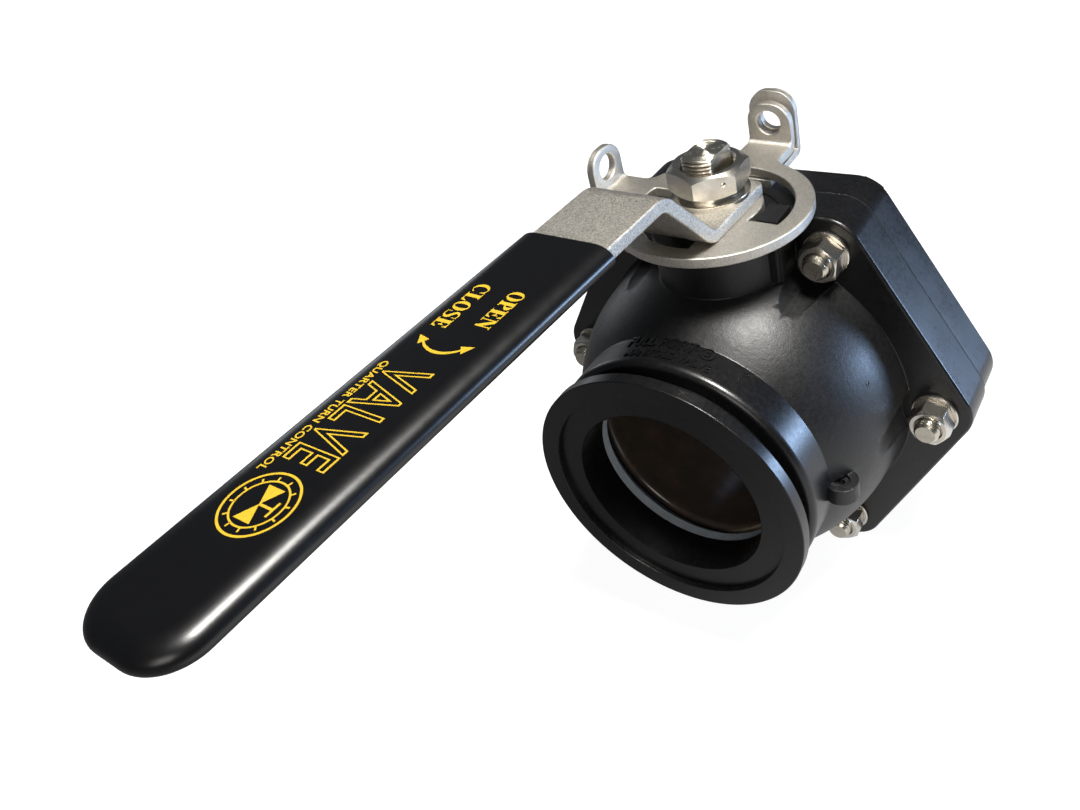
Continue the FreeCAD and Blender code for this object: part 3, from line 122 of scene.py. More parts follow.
class Tree:
    """A material's node tree, written as arithmetic."""

    def __init__(self, name: str) -> None:
        self.material = bpy.data.materials.new(name)
        self.material.use_nodes = True
        self.nodes = self.material.node_tree.nodes
        self.links = self.material.node_tree.links
        self.nodes.clear()

    def add(self, kind: str, settings: Optional[dict] = None, values: Optional[dict] = None):
        """Adds any node.

        Args:
            kind: The node's type name without the ShaderNode prefix.
            settings: Properties of the node.
            values: Inputs by name or number; sockets are linked, numbers are set.

        Returns:
            The node.
        """
        node = self.nodes.new(f"ShaderNode{kind}")
        for key, value in (settings or {}).items():
            setattr(node, key, value)
        for key, value in (values or {}).items():
            self.feed(node.inputs[key], value)
        return node

    def feed(self, target, value: object) -> None:
        """Links a socket or a node to an input, or sets the input to a number or colour."""
        if isinstance(value, bpy.types.Node):
            value = value.outputs[0]
        if isinstance(value, Sock):
            value = value.raw
        if isinstance(value, bpy.types.NodeSocket):
            self.links.new(value, target)
        elif isinstance(value, (tuple, list)) and len(value) == 3 and len(target.default_value) == 4:
            target.default_value = (*value, 1.0)
        else:
            target.default_value = value

    def sock(self, node, output: object = 0) -> Sock:
        """An output of a node as a socket with arithmetic."""
        return Sock(self, node.outputs[output])

    def math(self, kind: str, *inputs: object, clamp: bool = False) -> Sock:
        """A Math node."""
        settings = {"operation": kind, "use_clamp": clamp}
        return self.sock(self.add("Math", settings, dict(enumerate(inputs))))

    def step(self, value: Sock, low: float, high: float) -> Sock:
        """A smooth step from 0 at low to 1 at high."""
        return self.sock(self.add("MapRange", {"interpolation_type": "SMOOTHSTEP"},
                                  {"Value": value, "From Min": low, "From Max": high}))

    def place(self) -> Sock:
        """Object coordinates."""
        return self.sock(self.add("TexCoord"), "Object")

    def axes(self) -> tuple[Sock, Sock, Sock]:
        """The three object coordinates."""
        node = self.add("SeparateXYZ", values={"Vector": self.place()})
        return self.sock(node, 0), self.sock(node, 1), self.sock(node, 2)

    def noise(self, grain: Grain) -> Sock:
        """Value noise of a grain."""
        return self.sock(self.add("TexNoise", values={"Vector": self.place(), "Scale": grain.scale,
                                                      "Detail": grain.octaves, "Roughness": grain.gain}), "Fac")

    def layers(self, *grains: Grain) -> tuple[Sock, Sock, Sock]:
        """What layers add up to in colour, held between 0 and 1, in roughness and in height."""
        totals = [Sock(self, 0.0)] * 3
        for grain in grains:
            noise = self.noise(grain)
            tone = noise.above(*grain.step) if grain.step else noise
            parts = ((tone, grain.tint), (noise, grain.rough), (noise, grain.height))
            totals = [total + value * share if share else total for total, (value, share) in zip(totals, parts)]
        return totals[0].clamp(), totals[1], totals[2]

    def mix(self, amount: object, first: object, second: object) -> Sock:
        """A blend of two colours."""
        return self.sock(self.add("Mix", {"data_type": "RGBA"}, {0: amount, 6: first, 7: second}), 2)

    def bump(self, height: Sock, distance: float, strength: float) -> Sock:
        """A bump from a height between 0 and 1 and its distance in metres."""
        return self.sock(self.add("Bump", values={"Height": height, "Distance": distance, "Strength": strength}))

    def surface(self, **values: object) -> bpy.types.Material:
        """Ends the tree in a Principled shader; keys name its inputs with _ for a space."""
        named = {key.replace("_", " "): value for key, value in values.items()}
        return self.finish(self.add("BsdfPrincipled", values=named))

    def finish(self, shader) -> bpy.types.Material:
        """Ends the tree in a shader."""
        self.add("OutputMaterial", values={0: shader})
        return self.material


def scaled(color: Color, share: float) -> Color:
    """A colour made darker or lighter."""
    return tuple(channel * share for channel in color)


@dataclass(frozen=True)
class MouldedPlastic:
    """Black glass-filled moulding: a mottled, speckled dome and a smoother collar and rim."""

    name: str
    color: Color = (0.0024, 0.0024, 0.0027)
    pale: float = 2.4
    rough: float = 0.09
    dome: Point = (CENTRE_Y - 0.0387, CENTRE_Y + 0.0090)
    dome_soft: float = 0.0004
    dome_rough: float = 0.12
    flat_height: float = 0.155
    seam: Point = (CENTRE_Y + 0.0269, CENTRE_Y + 0.0288)
    seam_soft: float = 0.0001
    seam_rough: float = 0.6
    seam_depth: float = 0.8
    speck: Grain = Grain(2600.0, 2.0, rough=0.12, height=0.12)
    mottle: Grain = Grain(600.0, 3.0, step=(0.4, 0.75), tint=0.6, rough=0.14, height=0.20)
    cloud: Grain = Grain(70.0, tint=0.3, rough=0.18)
    depth: float = 0.00035
    strength: float = 0.9

    def build(self) -> bpy.types.Material:
        """Builds the node material."""
        t = Tree(self.name)
        _, along, _ = t.axes()
        dome = along.within(self.dome, self.dome_soft)
        seam = along.within(self.seam, self.seam_soft)
        tint, rough, height = t.layers(self.speck, self.mottle, self.cloud)
        rough = rough + dome * self.dome_rough + seam * self.seam_rough + self.rough
        height = height * (dome + self.flat_height) - seam * self.seam_depth
        return t.surface(Base_Color=t.mix(tint, self.color, scaled(self.color, self.pale)), Roughness=rough.clamp(),
                         Normal=t.bump(height, self.depth, self.strength))


@dataclass(frozen=True)
class TumbledSteel:
    """Stainless sheet or bar with the speckle left by tumbling."""

    name: str
    color: Color = (0.74, 0.70, 0.63)
    dark: float = 0.66
    rough: float = 0.22
    speck: Grain = Grain(2400.0, 3.0, 0.8, (0.43, 0.57), tint=0.75, rough=0.24, height=0.7)
    blot: Grain = Grain(420.0, 4.0, 0.65, (0.35, 0.6), tint=0.15, rough=0.14, height=0.3)
    cloud: Grain = Grain(70.0, 3.0, 0.5, tint=0.15)
    depth: float = 0.0003
    strength: float = 0.9

    def build(self) -> bpy.types.Material:
        """Builds the node material."""
        t = Tree(self.name)
        tint, rough, height = t.layers(self.speck, self.blot, self.cloud)
        return t.surface(Base_Color=t.mix(tint, scaled(self.color, self.dark), self.color), Metallic=1.0,
                         Roughness=(rough + self.rough).clamp(), Normal=t.bump(height, self.depth, self.strength))


@dataclass(frozen=True)
class Plain:
    """A simple finish with a little unevenness."""

    name: str
    color: Color
    rough: float
    metal: float = 0.0
    dark: float = 0.8
    cloud: Grain = Grain(240.0, step=(0.3, 0.8), tint=1.0, rough=0.12, height=1.0)
    depth: float = 0.00005
    strength: float = 0.6

    def build(self) -> bpy.types.Material:
        """Builds the node material."""
        t = Tree(self.name)
        tint, rough, height = t.layers(self.cloud)
        return t.surface(Base_Color=t.mix(tint, self.color, scaled(self.color, self.dark)), Metallic=self.metal,
                         Roughness=(rough + self.rough).clamp(), Normal=t.bump(height, self.depth, self.strength))


@dataclass(frozen=True)
class TurnedSteel:
    """Turned stainless with ring marks about the stem and painted shade, dark brown, in the thread grooves."""

    name: str
    color: Color = (0.74, 0.70, 0.62)
    dark: float = 0.8
    rough: float = 0.19
    cloud: Grain = Grain(300.0, step=(0.3, 0.8), tint=1.0, rough=0.12, height=0.15)
    rings: float = 5200.0
    ring_height: float = 0.85
    depth: float = 0.00022
    groove_shade: Color = (0.13, 0.075, 0.035)
    groove_shade_cover: float = 0.9
    groove_rough: float = 0.25
    root: Point = (0.0086, 0.0094)
    flats: Point = (0.0069, 0.0075)
    thread_low: Point = (0.0870, 0.0875)
    thread_high: Point = (0.1076, 0.1079)

    def build(self) -> bpy.types.Material:
        """Builds the node material."""
        t = Tree(self.name)
        x, y, z = t.axes()
        y = y - CENTRE_Y
        reach = (x * x + y * y) ** 0.5
        lines = t.sock(t.add("TexNoise", {"noise_dimensions": "1D"},
                             {"W": reach * self.rings, "Scale": 1.0, "Detail": 1.0}), "Fac")
        tint, rough, height = t.layers(self.cloud)
        # Mask of the thread grooves, which get painted dark brown shade and more roughness.
        groove = (1.0 - reach.above(*self.root)) * (y * y).above(*(side ** 2 for side in self.flats))
        groove = groove * (1.0 - z.above(*self.thread_high)) * z.above(*self.thread_low)
        base = t.mix(tint, self.color, scaled(self.color, self.dark))
        return t.surface(Base_Color=t.mix((groove * self.groove_shade_cover).clamp(), base, self.groove_shade), Metallic=1.0,
                         Roughness=(rough + groove * self.groove_rough + self.rough).clamp(),
                         Normal=t.bump(height + lines * self.ring_height, self.depth, 1.0))


@dataclass(frozen=True)
class BallFinish:
    """Dark glossy ball with a painted highlight: a bright brassy metallic band round each bore rim."""

    name: str
    color: Color = (0.050, 0.040, 0.031)
    stain: Color = (0.085, 0.055, 0.042)
    rough: float = 0.10
    cloud: Grain = Grain(90.0, step=(0.35, 0.75), tint=1.0, rough=0.16, height=0.6)
    streak: Grain = Grain(900.0, 3.0, rough=0.06, height=0.4)
    depth: float = 0.00005
    strength: float = 0.5
    rim: Point = (0.0418, 0.0426)
    rim_highlight_color: Color = (0.70, 0.56, 0.42)
    rim_highlight_rough: float = 0.08
    rim_highlight_metal: float = 0.95

    def build(self) -> bpy.types.Material:
        """Builds the node material."""
        t = Tree(self.name)
        _, along, _ = t.axes()
        # Band round each bore rim that carries the painted highlight in brassy metallic colour.
        rim_highlight = t.math("ABSOLUTE", along - CENTRE_Y).above(*self.rim)
        tint, rough, height = t.layers(self.cloud, self.streak)
        base = t.mix(rim_highlight, t.mix(tint, self.color, self.stain), self.rim_highlight_color)
        return t.surface(Base_Color=base, Metallic=rim_highlight * self.rim_highlight_metal,
                         Roughness=(rough + rim_highlight * self.rim_highlight_rough + self.rough).clamp(),
                         Normal=t.bump(height, self.depth, self.strength))


Finish = Union[MouldedPlastic, TumbledSteel, Plain, TurnedSteel, BallFinish]


def polar(radius: float, angle: float, height: float = 0.0) -> Vector:
    """The point at a radius, an angle about Z and a height."""
    return Vector((radius * math.cos(angle), radius * math.sin(angle), height))


def around(centre: Point, radius: float, angle: float) -> Point:
    """The point of a plane at a radius and angle from a centre."""
    return centre[0] + radius * math.cos(angle), centre[1] + radius * math.sin(angle)


def full_turn(steps: int) -> list[float]:
    """The angles of a full turn in equal steps."""
    return [math.tau * number / steps for number in range(steps)]


def spread(first: float, last: float, steps: int) -> list[float]:
    """Equal steps from first to last, with both ends."""
    return [first + (last - first) * number / steps for number in range(steps + 1)]


class Shape:
    """A mesh in the making, in millimetres about the centre of the ball."""

    def __init__(self, bm: Optional[bmesh.types.BMesh] = None) -> None:
        self.bm = bmesh.new() if bm is None else bm

    def skin(self, rows: Sequence[Sequence[Vector]], closed: bool = False, caps: bool = False) -> "Shape":
        """Joins rings of points of the same length.

        Args:
            rows: The rings.
            closed: Whether the last ring joins the first.
            caps: Whether the first and the last ring are filled.

        Returns:
            This shape.
        """
        verts = [[self.bm.verts.new(point) for point in row] for row in rows]
        pairs = list(zip(verts, verts[1:]))
        if closed:
            pairs.append((verts[-1], verts[0]))
        for low, high in pairs:
            for here, low_here in enumerate(low):
                after = (here + 1) % len(low)
                self.bm.faces.new((low_here, low[after], high[after], high[here]))
        if caps:
            self.bm.faces.new(tuple(reversed(verts[0])))
            self.bm.faces.new(tuple(verts[-1]))
        return self

    def add(self, other: "Shape", matrix: Matrix = STILL) -> None:
        """Adds a moved copy of another shape."""
        mesh = bpy.data.meshes.new("part")
        other.bm.to_mesh(mesh)
        mesh.transform(matrix)
        self.bm.from_mesh(mesh)
        bpy.data.meshes.remove(mesh)

    def absorb(self, other: "Shape", matrix: Matrix = STILL) -> None:
        """Adds another shape and frees it."""
        self.add(other, matrix)
        other.bm.free()

    def piece(self, name: str, material: bpy.types.Material, host: Host, slot: str,
              stands_for: Iterable[str] = (), angle: float = 32.0) -> bpy.types.Object:
        """Turns the shape into an object that rides on a CAD body.

        Args:
            name: The object's name.
            material: Its finish.
            host: The CAD body it moves with; shapes on the handle take the rest turn.
            slot: The record's material slot; not used.
            stands_for: CAD nodes that it replaces.
            angle: Edges sharper than this many degrees stay sharp.

        Returns:
            The object.
        """
        matrix = Matrix.Scale(MM, 4)
        if host is not Host.HOUSING:
            matrix = Matrix.Rotation(REST_TURN, 4, "Z") @ matrix
        bmesh.ops.recalc_face_normals(self.bm, faces=self.bm.faces)
        mesh = bpy.data.meshes.new(name)
        self.bm.to_mesh(mesh)
        self.bm.free()
        mesh.transform(Matrix.Translation((0.0, CENTRE_Y, 0.0)) @ matrix)
        return finish_piece(name, mesh, material, host, slot, stands_for, angle)


def finish_piece(name: str, mesh: bpy.types.Mesh, material: bpy.types.Material, host: Host, slot: str,
                 stands_for: Iterable[str], angle: float) -> bpy.types.Object:
    """Links a mesh, smooths it by angle and ties it to its body and CAD nodes."""
    mesh.materials.clear()
    mesh.materials.append(material)
    mesh.shade_smooth()
    mesh.set_sharp_from_angle(angle=math.radians(angle))
    piece = bpy.data.objects.new(name, mesh)
    bpy.context.scene.collection.objects.link(piece)
    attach(piece, host.value)
    nodes = tuple(stands_for)
    if nodes:
        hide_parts(*nodes)
    LOG.info("%s: %d faces", name, len(mesh.polygons))
    return piece


def along_pipe(x: float, y: float, z: float, turn: float = 0.0) -> Matrix:
    """Puts a shape drawn up +Z at a spot, pointing along +Y, turned about that axis."""
    return (Matrix.Translation((x, y, z)) @ Matrix.Rotation(math.radians(-90.0), 4, "X")
            @ Matrix.Rotation(math.radians(turn), 4, "Z"))


def outward(spot: Vector, way: Vector) -> Matrix:
    """Puts a shape drawn up +Z at a spot, pointing a given way."""
    return Matrix.Translation(spot) @ way.to_track_quat("Z", "Y").to_matrix().to_4x4()


@dataclass
class Lathe:
    """A solid of revolution about Z."""

    profile: Sequence[Point]
    steps: int = 96
    closed: bool = False
    capped: bool = True

    def shape(self) -> Shape:
        """Builds the surface; an open profile ends in caps or is left open."""
        rows = [[polar(radius, angle, height) for angle in full_turn(self.steps)] for radius, height in self.profile]
        return Shape().skin(rows, self.closed, self.capped and not self.closed)


@dataclass
class HexNut:
    """A hex nut or bolt head with turned chamfers."""

    flats: float
    height: float
    hole: float
    chamfer: float = 0.95
    lower_chamfer: bool = True
    corner_soft: float = 0.994
    mouth: float = 0.7
    foot: float = 0.15
    samples: Sequence[float] = (-30.0, -29.2, -28.2, -26.0, -22.0, -17.0, -12.0, -6.0,
                                0.0, 6.0, 12.0, 17.0, 22.0, 26.0, 28.2, 29.2)

    def profile(self, angle: float) -> list[Point]:
        """Radius and height round the section at an angle from a corner."""
        half = self.flats / 2
        ring = half * self.chamfer
        offset = (angle - SIXTH / 2) % SIXTH
        reach = min(half / math.cos(min(offset, SIXTH - offset)), half / math.cos(SIXTH / 2) * self.corner_soft)
        drop = (reach - ring) * math.tan(SIXTH / 2)
        base, low = (ring, drop) if self.lower_chamfer else (reach - self.foot, self.foot)
        mouth = self.hole + self.mouth
        return [(self.hole, self.mouth), (mouth, 0.0), (base, 0.0), (reach, low), (reach, self.height - drop),
                (ring, self.height), (mouth, self.height), (self.hole, self.height - self.mouth)]

    def shape(self) -> Shape:
        """Builds the nut with a corner at angle 0 and closer samples at the corners."""
        angles = [SIXTH * (side + 0.5) + math.radians(sample) for side in range(6) for sample in self.samples]
        columns = [[polar(radius, angle, height) for radius, height in self.profile(angle)] for angle in angles]
        return Shape().skin(list(zip(*columns)), closed=True)


@dataclass
class Rod:
    """A threaded rod along Z that can have two flats facing along X."""

    radius: float
    low: float
    high: float
    pitch: float = 1.59
    depth: float = 0.75
    crest: float = 0.12
    chamfer: float = 1.0
    flat: Optional[float] = None
    thread_from: float = -math.inf
    steps: int = 72
    layers: int = 10
    dish: float = 0.0
    top_rings: tuple[float, float, float] = (0.92, 0.6, 0.2)

    def reach(self, angle: float, height: float) -> float:
        """Radius of the surface at an angle and height."""
        wave = abs((height / self.pitch - angle / math.tau) % 1.0 * 2.0 - 1.0)
        groove = self.depth * min(max((wave - self.crest) / (1.0 - 2.0 * self.crest), 0.0), 1.0)
        if height < self.thread_from:
            groove = 0.0
        radius = min(self.radius - groove, self.radius - self.chamfer + (self.high - height))
        if self.flat is not None:
            radius = min(radius, self.flat / max(abs(math.cos(angle)), 1e-6))
        return radius

    def shape(self) -> Shape:
        """Builds the rod."""
        count = max(int((self.high - self.low) / self.pitch * self.layers), 2)
        rows = [[polar(self.reach(angle, height), angle, height) for angle in full_turn(self.steps)]
                for height in spread(self.low, self.high, count)]
        edge, top = rows[-1], self.high - self.dish
        for share, height in zip(self.top_rings, (self.high, top, top)):
            rows.append([Vector((point.x * share, point.y * share, height)) for point in edge])
        return Shape().skin(rows, caps=True)


@dataclass
class PipeEnd:
    """The turned rim, recess and groove at one end of the pipe."""

    face: float = 66.3
    bore: float = 37.1
    recess: float = 46.4
    recess_depth: float = 2.1
    rim: float = 54.0
    rim_back: float = 5.1
    groove: float = 46.5
    groove_back: float = 12.1
    collar: float = 53.0
    collar_round: float = 2.8
    edge: float = 0.45
    small: float = 0.25
    lap: float = 0.02
    hem: float = 0.6
    slack: float = 0.05
    quarter_steps: int = 4
    steps: int = 200

    def corner(self, radius: float, depth: float, size: float, first: float) -> list[Point]:
        """A quarter round about a centre, from its first angle in degrees."""
        return [around((radius, depth), size, math.radians(angle))
                for angle in spread(first, first + 90.0, self.quarter_steps)]

    def profile(self) -> list[Point]:
        """Radius and depth behind the face, from the bore round to the collar."""
        small, edge, size = self.small, self.edge, self.collar_round
        return [
            (self.bore - self.lap, self.recess_depth + self.hem),
            *self.corner(self.bore + small, self.recess_depth + small, small, 180.0),
            (self.recess, self.recess_depth),
            *self.corner(self.recess + small, small, small, 180.0),
            *self.corner(self.rim - edge, edge, edge, -90.0),
            *self.corner(self.rim - edge, self.rim_back - edge, edge, 0.0),
            (self.groove, self.rim_back),
            (self.groove, self.groove_back),
            *self.corner(self.collar - size, self.groove_back + size, size, -90.0),
            (self.collar - self.lap, self.groove_back + size + self.hem),
        ]

    def clear(self, bm: bmesh.types.BMesh, side: float) -> None:
        """Deletes the coarse faces that the turned end replaces."""
        reach = (self.face - self.groove_back - self.collar_round - self.slack) * MM
        bore = (self.bore - self.slack) * MM
        old = [face for face in bm.faces
               if all((vert.co.y - CENTRE_Y) * side > reach and math.hypot(vert.co.x, vert.co.z) > bore
                      for vert in face.verts)]
        bmesh.ops.delete(bm, geom=old, context="FACES")

    def replace(self, bm: bmesh.types.BMesh, side: float) -> None:
        """Swaps the coarse end of a body for the turned one.

        Args:
            bm: The body's mesh in metres.
            side: -1 at the front end, 1 at the rear end.
        """
        self.clear(bm, side)
        profile = [(radius, self.face - depth) for radius, depth in self.profile()]
        turned = Lathe(profile, self.steps, capped=False).shape()
        for vert in turned.bm.verts:
            x, y, z = vert.co
            vert.co = Vector((x * MM, CENTRE_Y + side * z * MM, y * MM))
        turned.bm.normal_update()
        outer = max(turned.bm.faces, key=lambda face: math.hypot(*face.calc_center_median().xz))
        if outer.normal.dot(outer.calc_center_median() * Vector((1.0, 0.0, 1.0))) < 0.0:
            bmesh.ops.reverse_faces(turned.bm, faces=turned.bm.faces[:])
        Shape(bm).absorb(turned)


@dataclass
class SoftNode:
    """A copy of a CAD node with its sharp edges rounded.

    Only edges beyond the radius inner and longer than least are rounded, and end is the side of the
    pipe end that is turned anew. Faces within the angle flat of each other are joined first.
    """

    node: str
    host: Host
    slot: str
    width: float
    segments: int = 3
    sharp: float = 25.0
    inner: float = 0.0
    least: float = 0.0
    end: float = 0.0
    weld: float = 0.002
    flat: float = 0.4
    smooth: float = 40.0

    def chosen(self, edge: bmesh.types.BMEdge) -> bool:
        """Whether an edge is sharp, long enough and far enough from the pipe's axis."""
        if len(edge.link_faces) != 2 or edge.calc_length() <= self.least * MM:
            return False
        middle = (edge.verts[0].co + edge.verts[1].co) / 2
        return edge.calc_face_angle() > math.radians(self.sharp) and math.hypot(middle.x, middle.z) >= self.inner * MM

    def build(self, material: bpy.types.Material) -> None:
        """Builds the piece and lets it stand for the node."""
        bm = bmesh.new()
        bm.from_mesh(frame["nodes"][self.node].data)
        bmesh.ops.remove_doubles(bm, verts=bm.verts, dist=self.weld * MM)
        bmesh.ops.dissolve_limit(bm, angle_limit=math.radians(self.flat), verts=bm.verts, edges=bm.edges)
        edges = [edge for edge in bm.edges if self.chosen(edge)]
        bmesh.ops.bevel(bm, geom=edges, offset=self.width * MM, offset_type="OFFSET", segments=self.segments,
                        profile=0.5, affect="EDGES", material=-1, clamp_overlap=self.inner == 0.0)
        if self.end:
            PipeEnd().replace(bm, self.end)
        bmesh.ops.triangulate(bm, faces=[face for face in bm.faces if len(face.verts) > 4])
        mesh = bpy.data.meshes.new(self.node)
        bm.to_mesh(mesh)
        bm.free()
        stale = mesh.attributes.get("custom_normal")
        if stale:
            mesh.attributes.remove(stale)
        piece = finish_piece(f"{self.node}_soft", mesh, material, self.host, self.slot, (self.node,), self.smooth)
        piece.modifiers.new("weigh", "WEIGHTED_NORMAL").keep_sharp = True


@dataclass
class Fasteners:
    """The six bolts, nuts and washers of the shell."""

    circle: float = 76.4
    flats: float = 14.3
    shank: float = 4.72
    thread_depth: float = 0.55
    tip: float = -4.0
    nut_front: float = -0.6
    nut_height: float = 8.3
    washer_front: float = 7.7
    washer_radius: float = 8.9
    washer_height: float = 1.6
    washer_edge: float = 0.35
    back: float = 45.0
    head_height: float = 6.0
    head_turn: float = 30.0
    head_pip: float = 0.05
    hole: float = 4.8
    hole_edge: float = 0.15
    nut_turns: tuple[float, ...] = (12.0, 38.0, 5.0, 47.0, 22.0, 31.0)

    def washer(self) -> Shape:
        """A washer with broken edges."""
        mouth, edge = self.hole + self.hole_edge, self.washer_radius - self.washer_edge
        high = self.washer_height
        return Lathe([(self.hole, self.hole_edge), (mouth, 0.0), (edge, 0.0), (self.washer_radius, self.washer_edge),
                      (self.washer_radius, high - self.washer_edge), (edge, high), (mouth, high),
                      (self.hole, high - self.hole_edge)], closed=True).shape()

    def build(self, steel: bpy.types.Material, bright: bpy.types.Material) -> None:
        """Builds the pieces and lets them stand for their nodes."""
        bolts, nuts, front, rear = Shape(), Shape(), Shape(), Shape()
        rod = Rod(self.shank, 0.0, self.washer_front - self.tip, depth=self.thread_depth).shape()
        nut = HexNut(self.flats, self.nut_height, self.hole).shape()
        head = HexNut(self.flats, self.head_height, self.head_pip, lower_chamfer=False,
                      mouth=self.head_pip / 2).shape()
        washer = self.washer()
        flip = Matrix.Rotation(math.pi, 4, "X")
        for side, turn in enumerate(self.nut_turns):
            x, z = around((0.0, 0.0), self.circle, SIXTH * side)
            bolts.add(rod, along_pipe(x, self.washer_front, z, turn) @ flip)
            bolts.add(head, along_pipe(x, self.back + self.washer_height, z, self.head_turn))
            nuts.add(nut, along_pipe(x, self.nut_front, z, turn))
            front.add(washer, along_pipe(x, self.washer_front, z))
            rear.add(washer, along_pipe(x, self.back, z))
        for tool in (rod, nut, head, washer):
            tool.bm.free()
        bolts.piece("bolts", steel, Host.HOUSING, "bolt_steel", ["flange_bolts"], 28.0)
        nuts.piece("nuts", bright, Host.HOUSING, "nut_steel", ["bolt_nuts"], 25.0)
        front.piece("front_washers", bright, Host.HOUSING, "nut_steel", ["nut_washers"])
        rear.piece("rear_washers", bright, Host.HOUSING, "nut_steel", ["head_washers"])


@dataclass
class SplitWasher:
    """A split lock washer with a slanted gap."""

    inner: float = 9.9
    outer: float = 11.4
    height: float = 1.7
    split: float = 20.0
    half_gap: float = 4.6
    lean: float = 5.3
    steps: int = 90

    def shape(self, low: float) -> Shape:
        """Builds the ring in sections from one end of the gap round to the other.

        Args:
            low: Height of the underside.

        Returns:
            The shape.
        """
        high = low + self.height
        section = ((self.inner, low, -self.lean), (self.outer, low, -self.lean),
                   (self.outer, high, self.lean), (self.inner, high, self.lean))
        turns = spread(self.split + self.half_gap, self.split + 360.0 - self.half_gap, self.steps)
        rows = [[polar(radius, math.radians(turn + lean), height) for radius, height, lean in section]
                for turn in turns]
        return Shape().skin(rows, caps=True)


@dataclass
class StemTop:
    """The flatted and threaded stem with its nut and lock washer."""

    nut_bottom: float = 94.7
    nut_height: float = 9.5
    nut_flats: float = 26.3
    nut_turn: float = 38.5
    nut_chamfer: float = 0.93
    nut_mouth: float = 0.9
    dot: Sequence[Point] = ((0.01, 0.42), (0.5, 0.36), (0.9, 0.16), (1.15, -0.1))
    dot_shift: float = 3.3
    dot_height: float = 100.3
    dot_steps: int = 24
    neck_radius: float = 9.5
    neck_low: float = 82.4
    neck_top: float = 108.5
    neck_flat: float = 5.9
    neck_plain: float = 4.0
    neck_pitch: float = 1.4
    neck_chamfer: float = 0.9
    neck_dish: float = 0.12
    neck_steps: int = 180
    neck_fit: float = 0.1
    shaft: Sequence[Point] = ((11.95, 64.0), (11.95, 82.35))
    foot: Sequence[Point] = ((15.9, 60.05), (15.9, 63.95))
    tongue: tuple[float, float, float] = (24.0, 10.8, 11.6)
    tongue_middle: float = 54.3

    def stem(self) -> Shape:
        """The neck, the shaft, its foot and the tongue that drives the ball."""
        stem = Rod(self.neck_radius, self.neck_low, self.neck_top, self.neck_pitch, chamfer=self.neck_chamfer,
                   flat=self.neck_flat, thread_from=self.neck_low + self.neck_plain, steps=self.neck_steps,
                   dish=self.neck_dish).shape()
        stem.absorb(Lathe(self.shaft).shape())
        stem.absorb(Lathe(self.foot).shape())
        tongue = Shape()
        bmesh.ops.create_cube(tongue.bm, size=1.0, matrix=Matrix.Translation((0.0, 0.0, self.tongue_middle))
                              @ Matrix.Diagonal((*self.tongue, 1.0)))
        stem.absorb(tongue)
        return stem

    def nut(self) -> Shape:
        """The nut with the small raised dot on one side."""
        moved = Shape()
        hole = self.neck_radius + self.neck_fit
        nut = HexNut(self.nut_flats, self.nut_height, hole, self.nut_chamfer, mouth=self.nut_mouth)
        moved.absorb(nut.shape(), Matrix.Translation((0.0, 0.0, self.nut_bottom))
                     @ Matrix.Rotation(math.radians(self.nut_turn), 4, "Z"))
        side = math.radians(self.nut_turn - 90.0)
        out, run = polar(1.0, side), polar(1.0, side + math.pi / 2)
        spot = out * (self.nut_flats / 2) + run * self.dot_shift
        spot.z = self.dot_height
        moved.absorb(Lathe(self.dot, self.dot_steps).shape(), outward(spot, out))
        return moved

    def build(self, steel: bpy.types.Material, bright: bpy.types.Material) -> None:
        """Builds the pieces and lets them stand for their nodes."""
        self.stem().piece("stem_turned", steel, Host.HANDLE, "stem_steel", ["stem"], 40.0)
        self.nut().piece("stem_nut_turned", bright, Host.HANDLE, "nut_steel", ["stem_nut"], 25.0)
        spring = SplitWasher()
        spring.shape(self.nut_bottom - spring.height).piece("spring_washer_turned", bright, Host.HANDLE, "nut_steel",
                                                            ["spring_washer"])


@dataclass
class Grip:
    """The dipped vinyl sleeve with a full round edge and a rounded tip."""

    half_width: float = 17.4
    half_thickness: float = 4.4
    shoulder: float = 7.0
    start: float = -80.5
    end: float = -236.0
    corner: float = 13.0
    level: float = 115.74
    mouth: float = 0.8
    edge_steps: int = 24
    side_steps: int = 8
    tip_steps: int = 16

    def outline(self, inset: float) -> list[Point]:
        """Plan outline moved inward, from the left start round the tip to the right start."""
        half = self.half_width - inset
        turn = self.end + self.corner
        side = spread(self.start, turn, self.side_steps)[:-1]
        tip = []
        for sign, first in ((-1.0, math.pi), (1.0, -math.pi / 2)):
            centre = (sign * (self.half_width - self.corner), turn)
            tip += [around(centre, self.corner - inset, angle)
                    for angle in spread(first, first + math.pi / 2, self.tip_steps)]
        return [(-half, y) for y in side] + tip + [(half, y) for y in reversed(side)]

    def build(self, vinyl: bpy.types.Material) -> None:
        """Builds the sleeve as a stack of outlines with a rounded edge and a soft mouth."""
        rows = []
        for angle in spread(-math.pi / 2, math.pi / 2, self.edge_steps):
            inset = self.shoulder * (1.0 - math.cos(angle))
            height = self.level + self.half_thickness * math.sin(angle)
            rows.append([Vector((x, y, height)) for x, y in self.outline(inset)])
        shape = Shape().skin(rows, caps=True)
        mouth = [edge for edge in shape.bm.edges
                 if all(abs(vert.co.y - self.start) < 1e-4 for vert in edge.verts)]
        rim = [edge for edge in mouth if edge.calc_face_angle(0.0) > math.pi / 4]
        bmesh.ops.bevel(shape.bm, geom=rim, offset=self.mouth, segments=3, profile=0.5, affect="EDGES", material=-1,
                        clamp_overlap=True)
        shape.piece("grip_sleeve", vinyl, Host.HANDLE, "grip_vinyl", ["handle_grip"])


